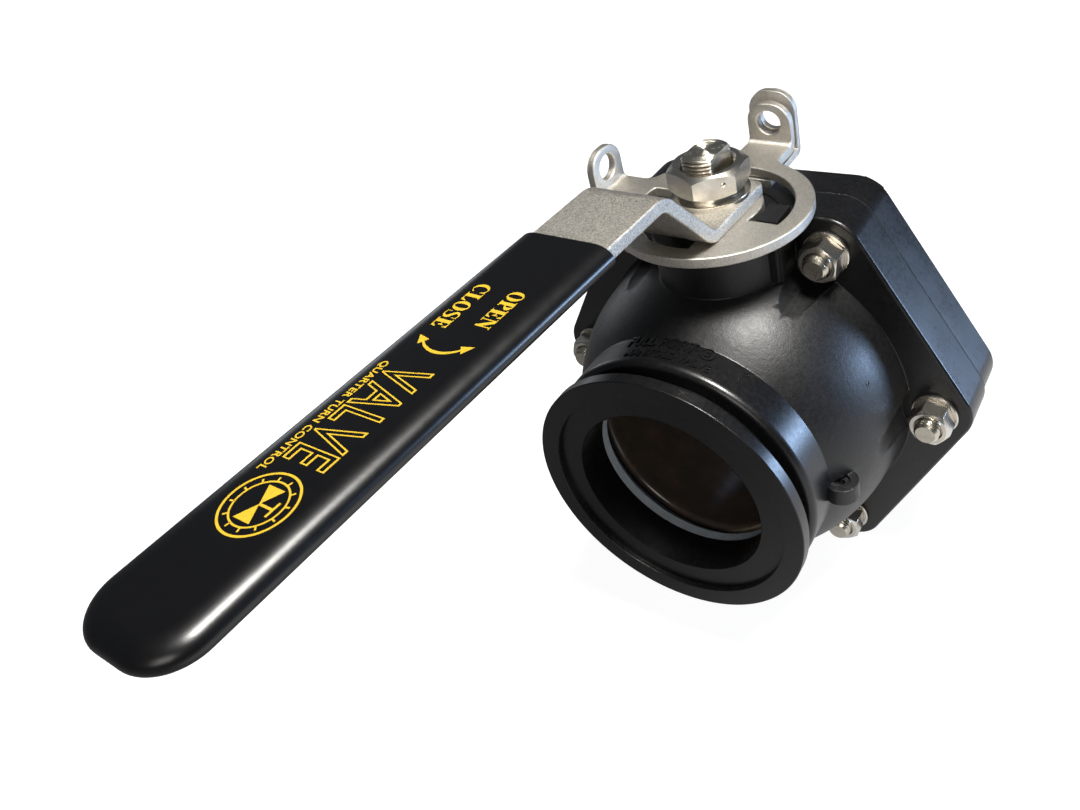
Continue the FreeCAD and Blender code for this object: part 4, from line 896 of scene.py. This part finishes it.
@dataclass
class Lettering:
    """Raised flat print drawn from simple outlines in the plane of the grip's top."""

    level: float
    thickness: float = 0.06
    sink: float = 0.05
    stagger: float = 0.0004
    stagger_count: int = 9
    shape: Shape = field(default_factory=Shape)
    count: int = 0

    def patch(self, outline: Sequence[Sequence[float]]) -> None:
        """Adds one filled outline as a thin slab, at a height of its own among its neighbours."""
        self.count += 1
        top = self.level + self.thickness + self.stagger * (self.count % self.stagger_count)
        rows = [[Vector((*point, height)) for point in outline] for height in (self.level - self.sink, top)]
        self.shape.skin(rows, caps=True)

    def strip(self, first: Sequence[Point], second: Sequence[Point]) -> None:
        """Adds a band between two lines of the same length as small patches."""
        for number in range(len(first) - 1):
            after = number + 1
            self.patch((first[number], first[after], second[after], second[number]))

    def box(self, left: float, low: float, right: float, high: float) -> None:
        """Adds an upright box."""
        self.patch(((left, low), (right, low), (right, high), (left, high)))


@dataclass(frozen=True)
class Poly:
    """A filled outline in a letter's box."""

    points: tuple[Point, ...]

    def draw(self, ink: Lettering, place: Place) -> None:
        """Draws the outline where place puts it."""
        ink.patch([place(u, v) for u, v in self.points])


@dataclass(frozen=True)
class Bow:
    """A band between two ellipses, thick at the sides and thin above and below."""

    outer_centre: Point
    outer: Point
    inner_centre: Point
    inner: Point
    first: float
    last: float
    steps: int = 20

    def draw(self, ink: Lettering, place: Place) -> None:
        """Draws the band where place puts it."""
        lines = []
        for centre, size in ((self.outer_centre, self.outer), (self.inner_centre, self.inner)):
            angles = (math.radians(angle) for angle in spread(self.first, self.last, self.steps))
            lines.append([place(centre[0] + size[0] * math.cos(a), centre[1] + size[1] * math.sin(a))
                          for a in angles])
        ink.strip(*lines)


def poly(*points: Point) -> Poly:
    """A stroke from its corners."""
    return Poly(points)


def bar(left: float, low: float, right: float, high: float) -> Poly:
    """An upright or lying stroke."""
    return Poly(((left, low), (right, low), (right, high), (left, high)))


@dataclass(frozen=True)
class Letter:
    """A bold capital with serifs in a box ten units high."""

    width: float
    strokes: tuple[Union[Poly, Bow], ...]


BOX_HEIGHT = 10.0
LETTERS = {
    "O": Letter(9.8, (Bow((4.6, 5.0), (4.6, 5.2), (4.6, 5.0), (2.0, 4.6), 0.0, 360.0, 36),)),
    "C": Letter(9.4, (
        Bow((4.7, 5.0), (4.7, 5.2), (5.3, 5.0), (2.8, 4.6), 42.0, 318.0, 30),
        poly((7.9, 6.6), (8.5, 6.6), (8.5, 10.1), (8.0, 10.1), (7.4, 8.8)),
    )),
    "P": Letter(8.6, (
        bar(1.2, 0.0, 4.0, 10.0), bar(0.0, 0.0, 5.2, 0.6), bar(0.0, 9.4, 1.3, 10.0),
        Bow((4.0, 7.2), (4.2, 2.8), (4.0, 7.2), (1.5, 2.2), -90.0, 90.0),
    )),
    "E": Letter(9.0, (
        bar(1.2, 0.0, 4.0, 10.0), bar(0.0, 0.0, 8.0, 0.6), bar(0.0, 9.4, 7.8, 10.0), bar(3.9, 4.8, 6.0, 5.4),
        poly((5.9, 3.4), (6.4, 3.4), (6.4, 6.9), (5.9, 6.9), (5.2, 5.1)),
        poly((6.0, 0.5), (8.0, 0.5), (8.5, 3.0), (8.0, 3.0)),
        poly((6.0, 9.5), (7.6, 7.3), (8.1, 7.3), (7.8, 9.5)),
    )),
    "N": Letter(10.4, (
        bar(1.3, 0.0, 2.1, 9.5), bar(7.9, 0.6, 8.7, 10.0),
        poly((0.9, 10.0), (3.7, 10.0), (8.7, 3.2), (8.7, 0.0), (7.8, 0.0)),
        bar(0.1, 0.0, 3.3, 0.6), bar(6.7, 9.4, 9.9, 10.0), bar(0.0, 9.4, 1.6, 10.0),
    )),
    "L": Letter(8.8, (
        bar(1.2, 0.0, 4.0, 10.0), bar(0.0, 0.0, 7.8, 0.6), bar(0.0, 9.4, 5.2, 10.0),
        poly((5.8, 0.5), (7.8, 0.5), (8.4, 3.4), (7.8, 3.4)),
    )),
    "S": Letter(7.8, (
        Bow((3.9, 7.4), (3.4, 2.8), (4.3, 7.7), (1.6, 1.9), 50.0, 205.0),
        Bow((3.5, 2.6), (3.6, 2.8), (3.1, 2.3), (1.8, 1.9), -130.0, 25.0),
        poly((0.82, 6.22), (2.85, 6.9), (4.73, 3.1), (6.76, 3.78), (6.3, 4.9), (3.2, 6.2), (4.9, 5.2)),
        poly((0.85, 6.2), (2.85, 6.95), (6.76, 3.8), (4.73, 3.05)),
        bar(6.2, 6.9, 6.7, 10.1), bar(0.4, -0.1, 0.9, 3.2),
    )),
}


@dataclass(frozen=True)
class PlainText:
    """Words in the built-in face, in millimetres.

    The weight is how far the outlines are pushed out, and outline is the width of hollow letters.
    """

    text: str
    size: float
    weight: float
    spacing: float = 1.0
    outline: float = 0.0
    curve_steps: int = 5
    weld: float = 0.0001

    def flat(self) -> bmesh.types.BMesh:
        """The flat letters, starting at the origin and running along X."""
        curve = bpy.data.curves.new("words", "FONT")
        curve.body = self.text
        curve.size = self.size
        curve.space_character = self.spacing
        curve.offset = self.weight
        curve.resolution_u = self.curve_steps
        holder = bpy.data.objects.new("words", curve)
        bpy.context.scene.collection.objects.link(holder)
        mesh = bpy.data.meshes.new_from_object(holder.evaluated_get(bpy.context.evaluated_depsgraph_get()))
        bm = bmesh.new()
        bm.from_mesh(mesh)
        bmesh.ops.remove_doubles(bm, verts=bm.verts, dist=self.weld)
        bpy.data.objects.remove(holder)
        bpy.data.curves.remove(curve)
        bpy.data.meshes.remove(mesh)
        bmesh.ops.translate(bm, verts=bm.verts, vec=(-min(vert.co.x for vert in bm.verts), 0.0, 0.0))
        return bm

    def raised(self, height: float, place: Callable[[float, float, float], Vector]) -> Shape:
        """Builds the letters as slabs.

        Args:
            height: How thick they are.
            place: Puts a point, given as its share of the length, its height on the line and its
                height above the ground, where it belongs.

        Returns:
            The shape.
        """
        bm = self.flat()
        if self.outline:
            bmesh.ops.inset_region(bm, faces=bm.faces, thickness=self.outline, use_boundary=True,
                                   use_even_offset=True)
            hollow = [face for face in bm.faces if not any(edge.is_boundary for edge in face.edges)]
            bmesh.ops.delete(bm, geom=hollow, context="FACES")
        reach = max(vert.co.x for vert in bm.verts)
        for item in bmesh.ops.extrude_face_region(bm, geom=bm.faces[:])["geom"]:
            if isinstance(item, bmesh.types.BMVert):
                item.co.z += height
        for vert in bm.verts:
            vert.co = place(vert.co.x / reach, vert.co.y, vert.co.z)
        return Shape(bm)


@dataclass
class CollarMark:
    """Raised words and a ring on the collar, and the gate mark on the dome.

    Each word has its first and last angle and the place of its line along the pipe.
    """

    radius: float = 53.0
    rise: float = 0.45
    sink: float = 0.25
    words: tuple[tuple[PlainText, float, float, float], ...] = (
        (PlainText("FULL PORT", 7.4, 0.12), -21.0, 9.6, -43.6),
        (PlainText("MANIFOLD VALVE", 5.0, 0.06), -18.5, 18.5, -49.6),
    )
    ring_angle: float = 14.3
    ring_along: float = -41.6
    rings: tuple[Point, ...] = ((2.9, 2.5), (1.2, 0.8))
    gate: Sequence[Point] = ((0.55, -0.3), (1.1, -0.3), (1.1, 0.12), (0.95, 0.25), (0.55, 0.25))
    gate_way: tuple[float, float, float] = (0.896, -0.181, 0.404)
    gate_reach: float = 65.55
    ring_steps: int = 40
    gate_steps: int = 32

    def word(self, text: PlainText, first: float, last: float, base: float) -> Shape:
        """Bends raised letters round the collar between two angles."""
        def place(share: float, up: float, rise: float) -> Vector:
            angle = math.radians(first + (last - first) * share)
            radius = self.radius - self.sink + rise
            return Vector((radius * math.sin(angle), base + up, radius * math.cos(angle)))
        return text.raised(self.rise + self.sink, place)

    def build(self, plastic: bpy.types.Material) -> None:
        """Builds the marks as one piece."""
        marks = Shape()
        for word in self.words:
            marks.absorb(self.word(*word))
        stand = (Matrix.Rotation(math.radians(self.ring_angle), 4, "Y")
                 @ Matrix.Translation((0.0, self.ring_along, self.radius)))
        for outer, inner in self.rings:
            section = [(inner, -self.sink), (outer, -self.sink), (outer, self.rise), (inner, self.rise)]
            marks.absorb(Lathe(section, self.ring_steps, closed=True).shape(), stand)
        way = Vector(self.gate_way).normalized()
        marks.absorb(Lathe(self.gate, self.gate_steps, closed=True).shape(), outward(way * self.gate_reach, way))
        marks.piece("body_marks", plastic, Host.HOUSING, "body_plastic", angle=25.0)


@dataclass
class Arrow:
    """The double-headed turning arrow between the two words."""

    centre: Point = (0.3, -129.0)
    radius: float = 9.0
    half: float = 0.42
    taper: Point = (0.75, 0.5)
    first: float = 226.0
    last: float = 318.0
    head: float = 3.7
    head_half: float = 1.65
    head_lean: float = 9.0
    steps: int = 24

    def draw(self, ink: Lettering) -> None:
        """Draws the bowed shaft, thickest in the middle, and the two heads."""
        out, back = [], []
        for number, angle in enumerate(spread(self.first, self.last, self.steps)):
            thick = self.half * (self.taper[0] + self.taper[1] * math.sin(math.pi * number / self.steps))
            out.append(around(self.centre, self.radius + thick, math.radians(angle)))
            back.append(around(self.centre, self.radius - thick, math.radians(angle)))
        ink.strip(out, back)
        for angle, sense in ((self.first, -1.0), (self.last, 1.0)):
            spot = Vector(around(self.centre, self.radius, math.radians(angle)))
            lean = math.radians(angle - self.head_lean * sense)
            run = Vector((-math.sin(lean), math.cos(lean))) * sense
            side = Vector((-run.y, run.x)) * self.head_half
            ink.patch([spot - side, spot + side, spot + run * self.head])


@dataclass
class Wheel:
    """A ticked ring with the plain two-triangle sign of a valve."""

    centre: Point = (0.3, -195.4)
    rings: tuple[Point, ...] = ((9.7, 9.05), (7.1, 6.6))
    ring_steps: int = 64
    ticks: int = 12
    tick: Point = (6.9, 8.2)
    tick_half: float = 0.24
    bow_half: float = 2.8
    bow_reach: float = 5.2
    stem: Point = (4.6, 0.35)
    top: tuple[float, float, float] = (4.3, 5.0, 2.2)

    def draw(self, ink: Lettering) -> None:
        """Draws the rings, the ticks and the sign."""
        x, y = self.centre
        for ring in self.rings:
            ink.strip(*([around(self.centre, radius, angle) for angle in spread(0.0, math.tau, self.ring_steps)]
                        for radius in ring))
        for number in range(self.ticks):
            angle = math.tau * (number + 0.5) / self.ticks
            low, high = (Vector(around(self.centre, radius, angle)) for radius in self.tick)
            side = Vector((-math.sin(angle), math.cos(angle))) * self.tick_half
            ink.patch([low - side, high - side, high + side, low + side])
        for sign in (-1.0, 1.0):
            far = y + sign * self.bow_reach
            ink.patch([self.centre, (x + self.bow_half, far), (x - self.bow_half, far)])
        ink.box(x, y - self.stem[1], x + self.stem[0], y + self.stem[1])
        left, right, half = self.top
        ink.box(x + left, y - half, x + right, y + half)


@dataclass
class GripPrint:
    """Words, arrow and a plain wheel mark in yellow on the grip.

    Each word has its base line across the grip and its start and end along it. Each line has its
    start across and along the grip and its length.
    """

    level: float = 120.14
    cap: float = 5.3
    gap: float = 0.6
    words: tuple[tuple[str, float, float, float], ...] = (
        ("OPEN", 2.9, -108.4, -125.4),
        ("CLOSE", -9.5, -108.4, -129.0),
    )
    lines: tuple[tuple[PlainText, float, float, float], ...] = (
        (PlainText("VALVE", 20.0, 0.42, 1.05, 0.62), -6.9, -145.0, 37.6),
        (PlainText("QUARTER TURN CONTROL", 3.1, 0.06, 1.05), -10.4, -145.6, 42.2),
    )

    def word(self, ink: Lettering, text: str, base: float, start: float, end: float) -> None:
        """Prints a word that reads outward along the grip with its letter tops toward +X."""
        letters = [LETTERS[letter] for letter in text]
        along = (end - start) / (sum(letter.width for letter in letters) - self.gap)
        up = self.cap / BOX_HEIGHT
        left = 0.0
        for letter in letters:
            for stroke in letter.strokes:
                stroke.draw(ink, lambda u, v: (base + v * up, start + (left + u) * along))
            left += letter.width

    def line(self, ink: Lettering, text: PlainText, across: float, start: float, length: float) -> None:
        """Prints a line of plain capitals along the grip."""
        ground = ink.level - ink.sink
        ink.shape.absorb(text.raised(ink.thickness + ink.sink, lambda share, up, rise: Vector(
            (across + up, start - length * share, ground + rise))))

    def build(self, paint: bpy.types.Material) -> None:
        """Builds all the print as one piece."""
        ink = Lettering(self.level)
        for word in self.words:
            self.word(ink, *word)
        Arrow().draw(ink)
        Wheel().draw(ink)
        for line in self.lines:
            self.line(ink, *line)
        ink.shape.piece("grip_print", paint, Host.HANDLE, "grip_vinyl", angle=20.0)


@dataclass
class Dresser:
    """Gives every CAD node that still shows its finish."""

    finishes: dict[str, Finish]

    def dress(self) -> dict[str, bpy.types.Material]:
        """Assigns one material to each slot of the record and returns them by slot."""
        built = {slot: finish.build() for slot, finish in self.finishes.items()}
        for part in frame["record"]["subparts"]:
            mesh = frame["nodes"][part["node"]].data
            mesh.materials.clear()
            mesh.materials.append(built[part["material_slot"]])
        return built


@dataclass(frozen=True)
class Lamp:
    """A soft rectangular light that looks at the valve."""

    name: str
    spot: tuple[float, float, float]
    size: Point
    power: float
    color: Color

    def hang(self) -> None:
        """Hangs the light on the stage."""
        data = bpy.data.lights.new(self.name, "AREA")
        data.shape = "RECTANGLE"
        data.size, data.size_y = self.size
        data.energy = self.power
        data.color = self.color
        lamp = bpy.data.objects.new(self.name, data)
        lamp.location = self.spot
        lamp.rotation_mode = "QUATERNION"
        lamp.rotation_quaternion = (Vector((0.0, CENTRE_Y, 0.0)) - lamp.location).to_track_quat("-Z", "Y")
        bpy.context.scene.collection.objects.link(lamp)


@dataclass
class Studio:
    """Camera, pale floor and soft lights."""

    sensor: float = 36.0
    lens: float = 33.102
    shift: Point = (-0.07922, -0.09608)
    azimuth: float = 37.42
    elevation: float = 33.11
    roll: float = -12.57
    pan: Point = (47.56, -35.63)
    distance: float = 407.5
    clip: Point = (0.01, 50.0)
    floor_level: float = -0.0812
    floor_radius: float = 1.4
    floor_steps: int = 96
    seen_diffuse: Color = (0.25, 0.25, 0.25)
    seen_glow: float = 0.93
    dim_color: Color = (0.07, 0.068, 0.066)
    dim_rough: float = 0.8
    dim_gloss: float = 0.1
    dim_glow: float = 0.9
    far_tone: Color = (0.10, 0.10, 0.11)
    lit_tone: Color = (1.05, 1.05, 1.05)
    lit_x: float = 0.14
    lit_lean: float = 0.2
    lit_side: Point = (-0.04, 0.13)
    lit_reach: Point = (0.04, 0.20)
    sky: Color = (0.86, 0.93, 1.0)
    sky_power: float = 0.085
    lamps: tuple[Lamp, ...] = (
        Lamp("key", (0.35, -0.01, 1.15), (0.36, 0.32), 30.0, (1.0, 0.975, 0.93)),
        Lamp("window", (1.12, 0.80, 0.035), (0.34, 0.24), 11.5, (0.46, 0.66, 1.0)),
        Lamp("left", (-1.2, 0.6, 0.16), (0.5, 0.4), 1.0, (0.9, 0.95, 1.0)),
        Lamp("front", (0.42, -1.05, 0.62), (0.5, 0.5), 3.5, (1.0, 0.95, 0.88)),
    )

    def camera(self) -> None:
        """Sets the camera of the photograph."""
        az, el, roll = (math.radians(value) for value in (self.azimuth, self.elevation, self.roll))
        back = Vector((math.sin(az) * math.cos(el), -math.cos(az) * math.cos(el), math.sin(el)))
        level = Vector((math.cos(az), math.sin(az), 0.0))
        upright = back.cross(level)
        right = level * math.cos(roll) + upright * math.sin(roll)
        up = upright * math.cos(roll) - level * math.sin(roll)
        spot = (back * self.distance - right * self.pan[0] - up * self.pan[1]) * MM
        spot.y += CENTRE_Y
        data = bpy.data.cameras.new("camera")
        data.sensor_width = self.sensor
        data.lens = self.lens
        data.shift_x, data.shift_y = self.shift
        data.clip_start, data.clip_end = self.clip
        camera = bpy.data.objects.new("camera", data)
        camera.matrix_world = Matrix.Translation(spot) @ Matrix((right, up, back)).transposed().to_4x4()
        bpy.context.scene.collection.objects.link(camera)
        bpy.context.scene.camera = camera

    def floor_finish(self) -> bpy.types.Material:
        """White to the camera, and dim with a lit patch in front to the right for reflections."""
        t = Tree("floor")
        seen = t.add("AddShader", values={
            0: t.add("BsdfDiffuse", values={"Color": self.seen_diffuse}),
            1: t.add("Emission", values={"Color": WHITE, "Strength": self.seen_glow}),
        })
        across, along, _ = t.axes()
        side = (across + along * self.lit_lean).above(*self.lit_side)
        away = (across - self.lit_x) * (across - self.lit_x) + along * along
        tone = t.mix(side * (1.0 - away.above(*self.lit_reach)), self.far_tone, self.lit_tone)
        dim = t.add("BsdfPrincipled", values={"Base Color": self.dim_color, "Roughness": self.dim_rough,
                                              "Specular IOR Level": self.dim_gloss, "Emission Color": tone,
                                              "Emission Strength": self.dim_glow})
        camera_ray = t.sock(t.add("LightPath"), "Is Camera Ray")
        return t.finish(t.add("MixShader", values={0: camera_ray, 1: dim, 2: seen}))

    def floor(self) -> None:
        """Lays a pale floor under the valve."""
        mesh = bpy.data.meshes.new("floor")
        bm = bmesh.new()
        bmesh.ops.create_circle(bm, cap_ends=True, segments=self.floor_steps, radius=self.floor_radius)
        bmesh.ops.translate(bm, verts=bm.verts, vec=(0.0, 0.0, self.floor_level))
        bm.to_mesh(mesh)
        bm.free()
        floor = bpy.data.objects.new("floor", mesh)
        bpy.context.scene.collection.objects.link(floor)
        mesh.materials.append(self.floor_finish())

    def world(self) -> None:
        """A bright surround for the camera and a softer one for the light."""
        world = bpy.data.worlds.new("studio")
        world.use_nodes = True
        nodes, links = world.node_tree.nodes, world.node_tree.links
        nodes.clear()
        choose = nodes.new("ShaderNodeMixShader")
        for number, (color, power) in enumerate(((self.sky, self.sky_power), (WHITE, 1.0)), 1):
            light = nodes.new("ShaderNodeBackground")
            light.inputs["Color"].default_value = (*color, 1.0)
            light.inputs["Strength"].default_value = power
            links.new(light.outputs[0], choose.inputs[number])
        links.new(nodes.new("ShaderNodeLightPath").outputs["Is Camera Ray"], choose.inputs[0])
        links.new(choose.outputs[0], nodes.new("ShaderNodeOutputWorld").inputs[0])
        bpy.context.scene.world = world

    def build(self) -> None:
        """Sets the whole stage."""
        self.camera()
        self.floor()
        self.world()
        for lamp in self.lamps:
            lamp.hang()
        bpy.context.scene.view_settings.view_transform = "Standard"


FINISHES = {
    "body_plastic": MouldedPlastic("moulded black"),
    "ball_plastic": BallFinish("glossy ball"),
    "seat_plastic": Plain("seat white", (0.50, 0.57, 0.62), rough=0.29),
    "seal_rubber": Plain("seal black", (0.012, 0.012, 0.012), rough=0.54),
    "sheet_steel": TumbledSteel("tumbled sheet"),
    "bar_steel": TumbledSteel(
        "tumbled bar", (0.70, 0.665, 0.60), dark=0.40, rough=0.23, depth=0.00036,
        speck=Grain(2000.0, 3.0, 0.8, (0.43, 0.57), tint=0.75, rough=0.288, height=0.7)),
    "nut_steel": Plain("bright steel", (0.71, 0.675, 0.61), rough=0.18, metal=1.0),
    # Painted shade: the bolts get a darker, warmer copy of the bright steel for the shade of the flange recesses they
    # sit in.
    "bolt_steel": Plain("bolt steel", (0.60, 0.56, 0.48), rough=0.20, metal=1.0),
    "stem_steel": TurnedSteel("turned steel"),
    "grip_vinyl": Plain("dipped vinyl", (0.0012, 0.0012, 0.0017), rough=0.26,
                        cloud=Grain(240.0, step=(0.3, 0.8), tint=1.0, rough=0.10, height=1.0)),
}
PRINT = Plain("yellow print", (0.50, 0.33, 0.022), rough=0.3, dark=0.85, depth=0.00002, strength=0.5,
              cloud=Grain(900.0, 3.0, step=(0.35, 0.75), tint=1.0, rough=0.2, height=1.0))

SOFT_NODES = (
    SoftNode("stop_plate", Host.HANDLE, "sheet_steel", width=0.55),
    SoftNode("lock_bracket", Host.HOUSING, "sheet_steel", width=0.5),
    SoftNode("handle_bar", Host.HANDLE, "bar_steel", width=0.7),
    SoftNode("flat_washer", Host.HANDLE, "nut_steel", width=0.25, segments=2),
    SoftNode("valve_body", Host.HOUSING, "body_plastic", width=0.4, segments=2, sharp=28.0, inner=56.0, least=0.3,
             end=-1.0),
    SoftNode("end_cap", Host.HOUSING, "body_plastic", width=0.4, segments=2, sharp=28.0, inner=56.0, least=0.3,
             end=1.0),
)


def main() -> None:
    """Builds the looks and the stage."""
    logging.basicConfig(level=logging.INFO, format="%(message)s")
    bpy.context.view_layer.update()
    built = Dresser(FINISHES).dress()
    for soft in SOFT_NODES:
        soft.build(built[soft.slot])
    Fasteners().build(built["bolt_steel"], built["nut_steel"])
    StemTop().build(built["stem_steel"], built["nut_steel"])
    Grip().build(built["grip_vinyl"])
    GripPrint().build(PRINT.build())
    CollarMark().build(built["body_plastic"])
    Studio().build()


if __name__ == "__main__":
    main()
